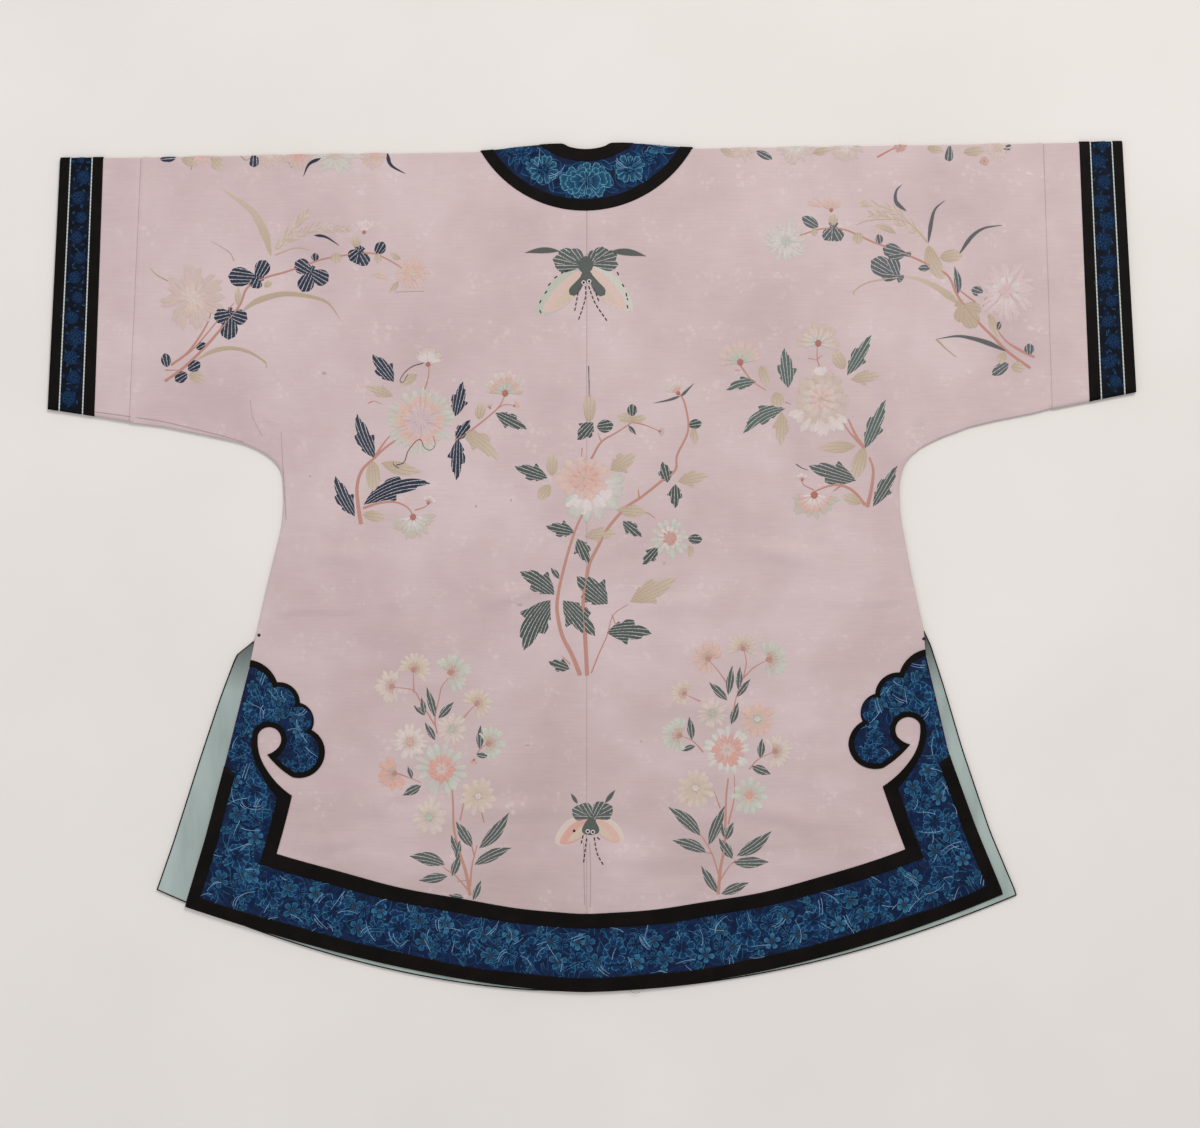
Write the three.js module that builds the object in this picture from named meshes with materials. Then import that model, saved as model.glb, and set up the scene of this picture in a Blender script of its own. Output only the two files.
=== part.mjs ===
// A woman's lined silk jacket with wide straight sleeves, laid flat on its front so that its back shows.
// Millimetres, +Z up, +X along the sleeves, +Y towards the neck, origin in the middle of the underside.
// Every piece is worked out on the flat cut and then folded over at the shoulder. On the cut, d is the
// distance from the centre-back seam and t is the distance down from the shoulder, negative on the front.
import * as THREE from "three";

// Driving sizes of the laid jacket
const SEAM_X = -6.4;
const SHOULDER_Y = 500.3;
const LENGTH = 1011;
const LEAN = 0.0157; // the right sleeve lies a little higher than the left
const SEAM_GAP = 0.3;

// Layers: distances from the middle plane of the folded garment, the same above and below it
const MIDDLE_Z = 3.3;
const SILK = { inner: 0.8, outer: 2.0 };
const TRIM = { inner: 2.3, outer: 3.3 };
const LINING = { inner: -0.5, outer: 0.5 };

// Shoulder fold: half of its width on the cut, and the rise where the stiff neck band lifts it
const FOLD_HALF = 3;
const FOLD_STEPS = [-3, -1.5, 0, 1.5, 3];
const NECK_RISE = { height: 7, from: 36, to: 138 };
const NECK_BULGE = 1; // how far the neck bands stand off the fold

// Times that a place on the cut is worked out again until it stays put
const SETTLE = { rowStart: 8, rowEnd: 12, foldAngle: 20, corner: 30 };

// Neck opening and its three bands, concentric circles whose centre lies on the front
const NECK_CENTRE_T = -73.7;
const NECK_RADIUS = 73;
const NECK_BANDS = [
  { name: "neck_binding", from: 73, to: 88, color: "black" },
  { name: "neck_ribbon", from: 88.3, to: 133, color: "ribbon" },
  { name: "neck_border", from: 133.3, to: 147, color: "black" },
];
const RING_FRONT_STEPS = 8;
const RING_BACK_STEPS = 6;

// Cuff bands, measured from the sleeve's mouth inwards, halfway down the sleeve
const CUFF_BANDS = [
  { name: "outer_black", from: 0, to: 12.2, color: "black" },
  { name: "outer_piping", from: 12.5, to: 14.1, color: "piping" },
  { name: "ribbon", from: 14.4, to: 39.2, color: "ribbon" },
  { name: "inner_piping", from: 39.5, to: 41.1, color: "piping" },
  { name: "inner_black", from: 41.4, to: 54, color: "black" },
];
const CUFF_FLARE = { top: 0.96, bottom: 1.04 };
const SLEEVE_ROWS = 6;

// The two sides as they lie: sleeve and hem sizes in d and t
const SIDES = [
  {
    name: "left",
    sign: -1,
    mouthTop: 631.7,
    mouthBottom: 646.8,
    mouthT: 301.5,
    underSlope: 0.168,
    joinTop: 534.6,
    joinBottom: 549,
    headStretch: 1,
    back: { drop: 110, corner: 482.3, power: 1.55 },
    front: { drop: 130.6, corner: 516.6, power: 1.86 },
  },
  {
    name: "right",
    sign: 1,
    mouthTop: 642.6,
    mouthBottom: 659.6,
    mouthT: 301.5,
    underSlope: 0.185,
    joinTop: 547.8,
    joinBottom: 558.6,
    headStretch: 1.07,
    back: { drop: 110, corner: 500.5, power: 1.88 },
    front: { drop: 108.2, corner: 517.3, power: 1.95 },
  },
];

// Edge of the back from the underarm to the hem: how far out it lies at each depth
const UNDERARM_TOP = 319;
const UNDERARM_LOW = 409;
const BACK_EDGE = [
  { t: 319, left: 549, right: 558.6 },
  { t: 324, left: 510.6, right: 540 },
  { t: 332, left: 473.4, right: 495 },
  { t: 340, left: 437, right: 459 },
  { t: 347, left: 408, right: 441 },
  { t: 355, left: 391, right: 416 },
  { t: 369, left: 371.5, right: 392.5 },
  { t: 384, left: 364.5, right: 380.5 },
  { t: 409, left: 363, right: 375 },
  { t: 445, left: 365.5, right: 376.5 },
  { t: 517, left: 383.5, right: 390 },
  { t: 582, left: 398, right: 404.5 },
  { t: 606, left: 403, right: 406 },
  { t: 733, left: 435, right: 435.5 },
  { t: 820, left: 458, right: 467 },
  { t: 903, left: 483, right: 501 },
];
// The front flares out from under the back below the slits
const FRONT_FLARE = [
  { t: 582, left: 398, right: 404.5 },
  { t: 600, left: 421, right: 413 },
  { t: 650, left: 440, right: 429 },
  { t: 725, left: 465, right: 451 },
  { t: 825, left: 497, right: 484.5 },
  { t: 905, left: 525, right: 518 },
];
const SLIT_TOP = 582;
const FRONT_EDGE = [...BACK_EDGE.filter((row) => row.t < SLIT_TOP), ...FRONT_FLARE];

// Side seams draw the two layers together between the underarm and the slit
const SEAM_PINCH = 0.6;
const PINCH_END_T = 560;

// Border of the slits and hem: full width, and the shares taken by its outer strip and its ribbon
const BORDER = { slit: 88, hem: 94, outerShare: 0.18, ribbonShare: 0.81 };
const BORDER_GAP_SHARE = 0.0036;
const OUTER_STRIP_TOP = 733;
const FRONT_BAND_TOP = 600;
const SLIT_STEPS = 7;
const HEM_STEPS = 12;
const SLOPE_REACH = 20; // the slit edge's slope is taken between this far above and below
const BACK_TRIM = { low: MIDDLE_Z + TRIM.inner, high: MIDDLE_Z + TRIM.outer };
const FRONT_TRIM = { low: MIDDLE_Z - TRIM.outer, high: MIDDLE_Z - TRIM.inner };
const FRONT_STRIPS = [
  { name: "outer", from: 0, to: BORDER.outerShare, color: "black" },
  { name: "ribbon", from: BORDER.outerShare + BORDER_GAP_SHARE, to: BORDER.ribbonShare, color: "ribbon" },
  { name: "inner", from: BORDER.ribbonShare + BORDER_GAP_SHARE, to: 1, color: "black" },
];

// Cloud head at the top of each slit border, as arcs from the slit edge round to the straight strip.
// bow is the arc's rise to the next point, positive where the blue swells; strip is the black edging.
const HEAD = [
  { d: 402, t: 606, bow: 5.6, strip: 7 },
  { d: 371.5, t: 633.2, bow: 8, strip: 7 },
  { d: 343.9, t: 658.4, bow: 8.5, strip: 7 },
  { d: 329.9, t: 691.2, bow: 4.3, strip: 7 },
  { d: 314, t: 718, bow: 4.1, strip: 7 },
  { d: 329.4, t: 744.7, bow: 2.3, strip: 7 },
  { d: 352.8, t: 747.7, bow: 2, strip: 7 },
  { d: 383.4, t: 719.8, bow: -1.2, strip: 7 },
  { d: 370, t: 711.5, bow: -6.3, strip: 7 },
  { d: 376, t: 688, bow: -4.1, strip: 7 },
  { d: 394.3, t: 696, bow: -3.7, strip: 7 },
  { d: 385, t: 736.3, bow: -2.5, strip: 8 },
  { d: 354.6, t: 769.7, bow: 0, strip: 14 },
];
const HEAD_PIVOT_D = 314;
const HEAD_ARC_STEPS = 4;
const STRAIGHT_BOW = 0.05; // an arc that rises less is drawn straight
const CORNER_REACH = 1.7; // a corner of the head's inner line moves in by this many strip widths at most

// Inner lines of the head: gap from the black strip and the slit edge, and how much lower the ends lie
const BLUE_LINE = { gap: 0, edge: 0.5, share: BORDER.ribbonShare };
const RIBBON_LINE = { gap: SEAM_GAP, edge: 0.5, share: BORDER.ribbonShare - BORDER_GAP_SHARE };
const HEAD_ENDS = { topStrips: 1.2, bottomDrop: 2 };

// Lining of the fronts, where it shows beyond the back
const LINING_STRIP = { from: 1.2, to: 60, topT: 592, hemStopD: 150 };

// Rows and columns of each body half
const BODY_COLUMNS = 12;
const COLUMN_POWER = 1.25;
const ROW_STRETCHES = {
  back: [
    { to: 6.5, rows: 1 },
    { to: UNDERARM_TOP, rows: 8 },
    { to: UNDERARM_LOW, rows: 9 },
    { to: LENGTH, rows: 23 },
  ],
  front: [
    { to: 10, rows: 1 },
    { to: -NECK_CENTRE_T + NECK_RADIUS, rows: 4 },
    { to: UNDERARM_TOP, rows: 3 },
    { to: UNDERARM_LOW, rows: 6 },
    { to: LENGTH, rows: 7 },
  ],
};
const RISE_FADE = 90;
const HEM_BOW_POWER = 1.5;

// Soft ripples of the back where it does not lie quite flat; side is -1 on the left
const RIPPLES = [
  { side: -1, d: 300, t: 482, length: 130, width: 62, height: 2.6, turn: -4 },
  { side: -1, d: 105, t: 528, length: 170, width: 66, height: 3.2, turn: 14 },
  { side: 1, d: 232, t: 487, length: 160, width: 60, height: 2.8, turn: -8 },
  { side: 1, d: 120, t: 560, length: 150, width: 64, height: 2.6, turn: 6 },
  { side: 1, d: 315, t: 590, length: 120, width: 60, height: 2.4, turn: 4 },
  { side: -1, d: 225, t: 775, length: 190, width: 70, height: 3.4, turn: 16 },
  { side: -1, d: 90, t: 790, length: 150, width: 64, height: 2.6, turn: 3 },
  { side: 1, d: 150, t: 672, length: 180, width: 66, height: 3, turn: -6 },
  { side: 1, d: 225, t: 790, length: 170, width: 66, height: 3, turn: -12 },
  { side: -1, d: 190, t: 640, length: 150, width: 62, height: 2.4, turn: 8 },
];

// Finishes
const FINISHES = {
  silk: new THREE.MeshStandardMaterial({ color: 0xc6b0b2, roughness: 0.62, metalness: 0 }),
  black: new THREE.MeshStandardMaterial({ color: 0x120d0c, roughness: 0.5, metalness: 0 }),
  ribbon: new THREE.MeshStandardMaterial({ color: 0x1e3146, roughness: 0.7, metalness: 0 }),
  piping: new THREE.MeshStandardMaterial({ color: 0xe2ddd2, roughness: 0.6, metalness: 0 }),
  lining: new THREE.MeshStandardMaterial({ color: 0x9aa8a6, roughness: 0.75, metalness: 0 }),
};

const jacket = new THREE.Group();

function addPiece(name, geometry, finish) {
  const mesh = new THREE.Mesh(geometry, FINISHES[finish]);
  mesh.name = name;
  jacket.add(mesh);
}

function mix(a, b, share) {
  return a + (b - a) * share;
}

// Reads one column of a table between its rows, straight from row to row
function readTable(table, column, t) {
  const next = table.findIndex((row) => row.t >= t);
  if (next === 0) return table[0][column];
  if (next < 0) return table[table.length - 1][column];
  const below = table[next - 1];
  const above = table[next];
  return mix(below[column], above[column], (t - below.t) / (above.t - below.t));
}

// Rise of the shoulder fold beside the neck
function foldRise(d) {
  const share = THREE.MathUtils.smoothstep(d, NECK_RISE.from, NECK_RISE.to);
  return NECK_RISE.height * (1 - share);
}

// Height of the back's ripples: each is a long cushion that fades to nothing at its rim
function rippleHeight(side, d, t) {
  let height = 0;
  for (const ripple of RIPPLES) {
    const turn = THREE.MathUtils.degToRad(ripple.turn);
    const across = d * side.sign - ripple.d * ripple.side;
    const along = across * Math.cos(turn) - (t - ripple.t) * Math.sin(turn);
    const over = across * Math.sin(turn) + (t - ripple.t) * Math.cos(turn);
    const a = along / ripple.length;
    const b = over / ripple.width;
    if (Math.abs(a) < 0.5 && Math.abs(b) < 0.5) {
      height += ripple.height * Math.cos(Math.PI * a) ** 2 * Math.cos(Math.PI * b) ** 2;
    }
  }
  return height;
}

// A point of the flat cut on the ground plan, with the whole garment leaning a little
function plan(side, d, y) {
  const across = side.sign * d;
  return [SEAM_X + across, y + LEAN * across];
}

// A point of the flat cut folded over at the shoulder, at distance w from the middle plane
function fold(side, d, t, w, bulge = 0) {
  const rise = foldRise(d);
  const depth = t + rise;
  if (Math.abs(depth) >= FOLD_HALF) {
    const [x, y] = plan(side, d, SHOULDER_Y + rise - Math.abs(depth));
    const lift = depth > 0 ? rippleHeight(side, d, t) : 0;
    return [x, y, MIDDLE_Z + Math.sign(depth) * w + lift];
  }
  const angle = (depth / FOLD_HALF) * (Math.PI / 2);
  const [x, y] = plan(side, d, SHOULDER_Y + rise - FOLD_HALF + (w + bulge) * Math.cos(angle));
  return [x, y, MIDDLE_Z + w * Math.sin(angle)];
}

// Closed wall between two grids of points: outer and inner skins, joined round all four edges
function wall(rows, columns, outer, inner) {
  const positions = [];
  const index = [];
  for (const skin of [outer, inner]) {
    for (let i = 0; i < rows; i++) {
      for (let j = 0; j < columns; j++) positions.push(...skin(i, j));
    }
  }
  const at = (skin, i, j) => skin * rows * columns + i * columns + j;
  const quad = (a, b, c, d) => index.push(a, b, c, a, c, d);
  for (let i = 0; i + 1 < rows; i++) {
    for (let j = 0; j + 1 < columns; j++) {
      quad(at(0, i, j), at(0, i, j + 1), at(0, i + 1, j + 1), at(0, i + 1, j));
      quad(at(1, i, j), at(1, i + 1, j), at(1, i + 1, j + 1), at(1, i, j + 1));
    }
  }
  for (let j = 0; j + 1 < columns; j++) {
    quad(at(0, 0, j), at(1, 0, j), at(1, 0, j + 1), at(0, 0, j + 1));
    quad(at(0, rows - 1, j), at(0, rows - 1, j + 1), at(1, rows - 1, j + 1), at(1, rows - 1, j));
  }
  for (let i = 0; i + 1 < rows; i++) {
    quad(at(0, i, 0), at(0, i + 1, 0), at(1, i + 1, 0), at(1, i, 0));
    const last = columns - 1;
    quad(at(0, i, last), at(1, i, last), at(1, i + 1, last), at(0, i + 1, last));
  }
  return facingOut(positions, index);
}

// The same faces, all turned to face out
function facingOut(positions, index) {
  const point = (n) => new THREE.Vector3().fromArray(positions, 3 * n);
  let volume = 0;
  for (let f = 0; f < index.length; f += 3) {
    volume += point(index[f]).dot(point(index[f + 1]).cross(point(index[f + 2])));
  }
  if (volume < 0) index.reverse();
  const geometry = new THREE.BufferGeometry();
  geometry.setAttribute("position", new THREE.Float32BufferAttribute(positions, 3));
  geometry.setIndex(index);
  geometry.computeVertexNormals();
  return geometry;
}

// Flat plate from an outline of ground-plan points, between two heights
function plate(outline, low, high) {
  const shape = new THREE.Shape(outline.map(([x, y]) => new THREE.Vector2(x, y)));
  const geometry = new THREE.ExtrudeGeometry(shape, { depth: high - low, bevelEnabled: false });
  return geometry.translate(0, 0, low);
}

// Body halves: each is a back and a front in one, with the upper sleeve, folded over at the shoulder.
// A row runs from the centre seam, or the neck's edge, out to the sleeve join or the side seam.
function rowDepths(stretches) {
  const depths = [];
  let from = FOLD_HALF;
  for (const stretch of stretches) {
    for (let k = 1; k <= stretch.rows; k++) depths.push(mix(from, stretch.to, k / stretch.rows));
    from = stretch.to;
  }
  return depths;
}

// Where a row lies on the cut at distance d: it follows the fold at the top and the hem at the bottom
function rowT(row, hem, d) {
  const size = Math.abs(row);
  const nearFold = THREE.MathUtils.clamp(1 - (size - FOLD_HALF) / RISE_FADE, 0, 1);
  const towardsHem = Math.max(0, (size - UNDERARM_LOW) / (LENGTH - UNDERARM_LOW));
  const bow = towardsHem ** HEM_BOW_POWER * hem.drop * (d / hem.corner) ** hem.power;
  return Math.sign(row) * (size - bow) - nearFold * foldRise(d);
}

function rowStart(row, hem) {
  let d = SEAM_GAP / 2;
  for (let k = 0; k < SETTLE.rowStart; k++) {
    const off = rowT(row, hem, d) - NECK_CENTRE_T;
    d = Math.max(SEAM_GAP / 2, Math.sqrt(Math.max(0, NECK_RADIUS ** 2 - off ** 2)));
  }
  return d;
}

function rowEnd(row, side, hem, edge) {
  const size = Math.abs(row);
  if (size <= UNDERARM_TOP) return mix(side.joinTop, side.joinBottom, size / UNDERARM_TOP);
  let d = hem.corner;
  for (let k = 0; k < SETTLE.rowEnd; k++) d = readTable(edge, side.name, Math.abs(rowT(row, hem, d)));
  return d;
}

function bodyHalf(side) {
  const frontRows = rowDepths(ROW_STRETCHES.front).map((depth) => -depth);
  const rows = [...frontRows.reverse(), ...FOLD_STEPS, ...rowDepths(ROW_STRETCHES.back)];
  const skin = (w) => (i, j) => {
    const row = rows[i];
    const hem = row < 0 ? side.front : side.back;
    const edge = row < 0 ? FRONT_EDGE : BACK_EDGE;
    const share = (j / BODY_COLUMNS) ** COLUMN_POWER;
    const d = mix(rowStart(row, hem), rowEnd(row, side, hem, edge), share);
    const size = Math.abs(row);
    const sewn = j === BODY_COLUMNS && size >= UNDERARM_TOP && size < PINCH_END_T;
    return fold(side, d, rowT(row, hem, d), sewn ? w - SEAM_PINCH : w);
  };
  return wall(rows.length, BODY_COLUMNS + 1, skin(SILK.outer), skin(SILK.inner));
}

// Sleeve extensions and cuff bands: straight rows from the front's under-edge over the fold to the back's
function sleeveWall(side, layer, edgesAt) {
  const steps = [];
  for (let k = -SLEEVE_ROWS; k < 0; k++) steps.push({ share: k / SLEEVE_ROWS });
  for (const depth of FOLD_STEPS) steps.push({ depth });
  for (let k = 1; k <= SLEEVE_ROWS; k++) steps.push({ share: k / SLEEVE_ROWS });
  const skin = (w) => (i, j) => {
    const { share = 0, depth } = steps[i];
    const down = Math.abs(share);
    const d = edgesAt(down)[j];
    const under = side.mouthT + side.underSlope * (side.mouthBottom - d);
    const t = depth ?? Math.sign(share) * mix(FOLD_HALF, under, down);
    return fold(side, d, t, down === 1 ? w - SEAM_PINCH : w);
  };
  return wall(steps.length, edgesAt(0).length, skin(layer.outer), skin(layer.inner));
}

function mouthD(side, down) {
  return mix(side.mouthTop, side.mouthBottom, down);
}

function sleeveExtension(side) {
  const edgesAt = (down) => {
    const join = mix(side.joinTop, side.joinBottom, down) + SEAM_GAP;
    return [join, mouthD(side, down)];
  };
  return sleeveWall(side, SILK, edgesAt);
}

function cuffBand(side, band) {
  const edgesAt = (down) => {
    const flare = mix(CUFF_FLARE.top, CUFF_FLARE.bottom, down);
    return [mouthD(side, down) - band.to * flare, mouthD(side, down) - band.from * flare];
  };
  return sleeveWall(side, TRIM, edgesAt);
}

// Angle round the neck's centre, from straight down the back, at which a circle meets a fold line
function foldAngle(radius, depth) {
  let d = radius / 2;
  for (let k = 0; k < SETTLE.foldAngle; k++) {
    const down = depth - foldRise(d) - NECK_CENTRE_T;
    d = Math.sqrt(Math.max(0, radius ** 2 - down ** 2));
  }
  return Math.asin(d / radius);
}

// Neck band: a ring cut at the centre front, whose columns lie on the fold's own lines where they cross it
function neckBand(band) {
  const anglesAt = (radius) => {
    const half = [];
    const atFold = foldAngle(radius, FOLD_HALF);
    for (let k = 1; k <= RING_BACK_STEPS; k++) half.push((atFold * k) / RING_BACK_STEPS);
    for (const depth of FOLD_STEPS.toReversed().slice(1)) half.push(foldAngle(radius, depth));
    const last = Math.PI - SEAM_GAP / 2 / radius;
    const from = half[half.length - 1];
    for (let k = 1; k <= RING_FRONT_STEPS; k++) half.push(mix(from, last, k / RING_FRONT_STEPS));
    return [...half.map((angle) => -angle).reverse(), 0, ...half];
  };
  const rings = [band.from, band.to].map((radius) => ({ radius, angles: anglesAt(radius) }));
  const skin = (w) => (i, j) => {
    const { radius, angles } = rings[j];
    const d = radius * Math.sin(angles[i]);
    const side = d < 0 ? SIDES[0] : SIDES[1];
    const t = NECK_CENTRE_T + radius * Math.cos(angles[i]);
    return fold(side, Math.abs(d), t, w, NECK_BULGE);
  };
  return wall(rings[0].angles.length, rings.length, skin(TRIM.outer), skin(TRIM.inner));
}

// Lines that run inside the slit edge and hem at a share of the border's width
function hemT(hem, inset, d) {
  const drop = hem.drop * (d / hem.corner) ** hem.power;
  const slope = (drop * hem.power) / Math.max(d, 1);
  return LENGTH - drop - inset * Math.hypot(1, slope);
}

function slitD(side, edge, inset, t) {
  const out = readTable(edge, side.name, t + SLOPE_REACH) - readTable(edge, side.name, t - SLOPE_REACH);
  return readTable(edge, side.name, t) - inset * Math.hypot(1, out / (2 * SLOPE_REACH));
}

function borderCorner(side, hem, edge, slitInset, hemInset) {
  let d = hem.corner;
  let t = LENGTH;
  for (let k = 0; k < SETTLE.corner; k++) {
    t = hemT(hem, hemInset, d);
    d = slitD(side, edge, slitInset, t);
  }
  return { d, t };
}

// Points down the slit from topT to the corner, then along the hem to stopD
function borderLine(side, hem, edge, slitInset, hemInset, topT, stopD) {
  const corner = borderCorner(side, hem, edge, slitInset, hemInset);
  const points = [];
  for (let k = 0; k < SLIT_STEPS; k++) {
    const t = mix(topT, corner.t, k / SLIT_STEPS);
    points.push({ d: slitD(side, edge, slitInset, t), t });
  }
  for (let k = 0; k <= HEM_STEPS; k++) {
    const d = mix(corner.d, stopD, k / HEM_STEPS);
    points.push({ d, t: hemT(hem, hemInset, d) });
  }
  return points;
}

function shareLine(side, hem, edge, share, topT, stopD) {
  return borderLine(side, hem, edge, share * BORDER.slit, share * BORDER.hem, topT, stopD);
}

// Arc from one point to the next with the given rise, left of the way there when positive
function arcPoints(from, to, bow) {
  const chord = Math.hypot(to.d - from.d, to.t - from.t);
  if (Math.abs(bow) < STRAIGHT_BOW) return [from];
  const radius = (chord ** 2 / 4 + bow ** 2) / (2 * Math.abs(bow));
  const half = Math.asin(Math.min(1, chord / 2 / radius));
  const normal = { d: (to.t - from.t) / chord, t: -(to.d - from.d) / chord };
  const points = [];
  for (let k = 0; k < HEAD_ARC_STEPS; k++) {
    const angle = mix(-half, half, k / HEAD_ARC_STEPS);
    const along = 0.5 + (radius * Math.sin(angle)) / chord;
    const rise = Math.sign(bow) * radius * (Math.cos(angle) - Math.cos(half));
    points.push({
      d: mix(from.d, to.d, along) - rise * normal.d,
      t: mix(from.t, to.t, along) - rise * normal.t,
    });
  }
  return points;
}

// Direction of travel at one end of an arc
function arcHeading(from, to, bow, atEnd) {
  const chord = Math.hypot(to.d - from.d, to.t - from.t);
  const turn = 2 * Math.atan2(2 * bow, chord) * (atEnd ? 1 : -1);
  const d = (to.d - from.d) / chord;
  const t = (to.t - from.t) / chord;
  return { d: d * Math.cos(turn) + t * Math.sin(turn), t: t * Math.cos(turn) - d * Math.sin(turn) };
}

// The head's points drawn in by the width of the black strip plus a gap, with arcs kept concentric
function drawIn(head, gap) {
  return head.map((point, k) => {
    if (k === 0 || k === head.length - 1) return { ...point };
    const arriving = arcHeading(head[k - 1], point, head[k - 1].bow, true);
    const leaving = arcHeading(point, head[k + 1], point.bow, false);
    const sum = { d: arriving.t + leaving.t, t: -arriving.d - leaving.d };
    const size = Math.hypot(sum.d, sum.t);
    const reach = (point.strip + gap) * Math.min(2 / size, CORNER_REACH);
    return { ...point, d: point.d + (sum.d / size) * reach, t: point.t + (sum.t / size) * reach };
  });
}

// Rise of the arc that follows point k once the head has been drawn in
function bowAfter(before, after, k, gap) {
  const bow = before[k].bow;
  if (Math.abs(bow) < STRAIGHT_BOW) return 0;
  const chord = Math.hypot(before[k + 1].d - before[k].d, before[k + 1].t - before[k].t);
  const radius = (chord ** 2 / 4 + bow ** 2) / (2 * Math.abs(bow));
  const newRadius = radius - Math.sign(bow) * (before[k].strip + gap);
  const newChord = Math.hypot(after[k + 1].d - after[k].d, after[k + 1].t - after[k].t);
  const within = newRadius ** 2 - newChord ** 2 / 4;
  return Math.sign(bow) * (newRadius - Math.sqrt(Math.max(0, within)));
}

// The head's line on one side: its outer edge, or an inner line drawn in by the given inset
function headLine(side, inset) {
  const stretch = (point) => ({ ...point, d: HEAD_PIVOT_D + (point.d - HEAD_PIVOT_D) * side.headStretch });
  const outer = HEAD.map(stretch);
  outer[0].d = slitD(side, BACK_EDGE, 0, outer[0].t);
  const last = outer.length - 1;
  outer[last].d = slitD(side, BACK_EDGE, BORDER.slit, outer[last].t);
  let line = outer;
  let bows = outer.map((point) => point.bow);
  if (inset) {
    line = drawIn(outer, inset.gap);
    line[0].t += outer[0].strip * HEAD_ENDS.topStrips + inset.gap;
    line[0].d = slitD(side, BACK_EDGE, inset.edge, line[0].t);
    line[last].t += HEAD_ENDS.bottomDrop;
    line[last].d = slitD(side, BACK_EDGE, inset.share * BORDER.slit, line[last].t);
    bows = line.map((point, k) => (k < last ? bowAfter(outer, line, k, inset.gap) : 0));
  }
  const points = [];
  for (let k = 0; k < last; k++) points.push(...arcPoints(line[k], line[k + 1], bows[k]));
  return points.concat(line[last]);
}

function planPoints(side, points) {
  return points.map(({ d, t }) => plan(side, d, SHOULDER_Y - Math.abs(t)));
}

// An outline that runs in along the left side, across the centre and out along the right
function acrossBothSides(lineOf) {
  const [left, right] = SIDES.map((side) => planPoints(side, lineOf(side)));
  return [...left, ...right.reverse().slice(1)];
}

// The head's line carried on down the slit and along the hem at a share of the border's width
function headAndStrip(side, inset, share) {
  const head = headLine(side, inset);
  return [...head, ...shareLine(side, side.back, BACK_EDGE, share, head[head.length - 1].t, 0).slice(1)];
}

function backBorderOuter() {
  const line = (share) => (side) => shareLine(side, side.back, BACK_EDGE, share, OUTER_STRIP_TOP, 0);
  return [...acrossBothSides(line(0)), ...acrossBothSides(line(BORDER.outerShare)).reverse()];
}

function backBorderRibbon() {
  const edgeShare = BORDER.outerShare + BORDER_GAP_SHARE;
  const outer = (side) => {
    const edgePoint = (t) => ({ d: slitD(side, BACK_EDGE, RIBBON_LINE.edge, t), t });
    const start = edgePoint(headLine(side, RIBBON_LINE)[0].t + 1);
    const strip = shareLine(side, side.back, BACK_EDGE, edgeShare, OUTER_STRIP_TOP - 1, 0);
    return [start, edgePoint(OUTER_STRIP_TOP - 1), ...strip];
  };
  const inner = (side) => headAndStrip(side, RIBBON_LINE, RIBBON_LINE.share);
  return [...acrossBothSides(outer), ...acrossBothSides(inner).reverse()];
}

function backBorderInner() {
  const pinkSide = (side) => headAndStrip(side, null, 1);
  const blueSide = (side) => headAndStrip(side, BLUE_LINE, BLUE_LINE.share);
  return [...acrossBothSides(pinkSide), ...acrossBothSides(blueSide).reverse()];
}

// Border strips of one front, plain and flat, from the slit round the corner to the centre front
function frontStrip(side, fromShare, toShare) {
  const line = (share) => shareLine(side, side.front, FRONT_EDGE, share, FRONT_BAND_TOP, SEAM_GAP / 2);
  return planPoints(side, [...line(fromShare), ...line(toShare).reverse()]);
}

function liningStrip(side) {
  const { from, to, topT, hemStopD } = LINING_STRIP;
  const line = (inset) => borderLine(side, side.front, FRONT_EDGE, inset, inset, topT, hemStopD);
  return planPoints(side, [...line(from), ...line(to).reverse()]);
}

for (const side of SIDES) {
  addPiece("body_" + side.name, bodyHalf(side), "silk");
  addPiece("sleeve_" + side.name, sleeveExtension(side), "silk");
  for (const band of CUFF_BANDS) {
    addPiece("cuff_" + side.name + "_" + band.name, cuffBand(side, band), band.color);
  }
}
for (const band of NECK_BANDS) addPiece(band.name, neckBand(band), band.color);

addPiece("back_border_outer", plate(backBorderOuter(), BACK_TRIM.low, BACK_TRIM.high), "black");
addPiece("back_border_ribbon", plate(backBorderRibbon(), BACK_TRIM.low, BACK_TRIM.high), "ribbon");
addPiece("back_border_inner", plate(backBorderInner(), BACK_TRIM.low, BACK_TRIM.high), "black");

for (const side of SIDES) {
  for (const strip of FRONT_STRIPS) {
    const outline = frontStrip(side, strip.from, strip.to);
    const name = "front_border_" + strip.name + "_" + side.name;
    addPiece(name, plate(outline, FRONT_TRIM.low, FRONT_TRIM.high), strip.color);
  }
  const lining = plate(liningStrip(side), MIDDLE_Z + LINING.inner, MIDDLE_Z + LINING.outer);
  addPiece("lining_front_" + side.name, lining, "lining");
}

export default jacket;
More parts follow.
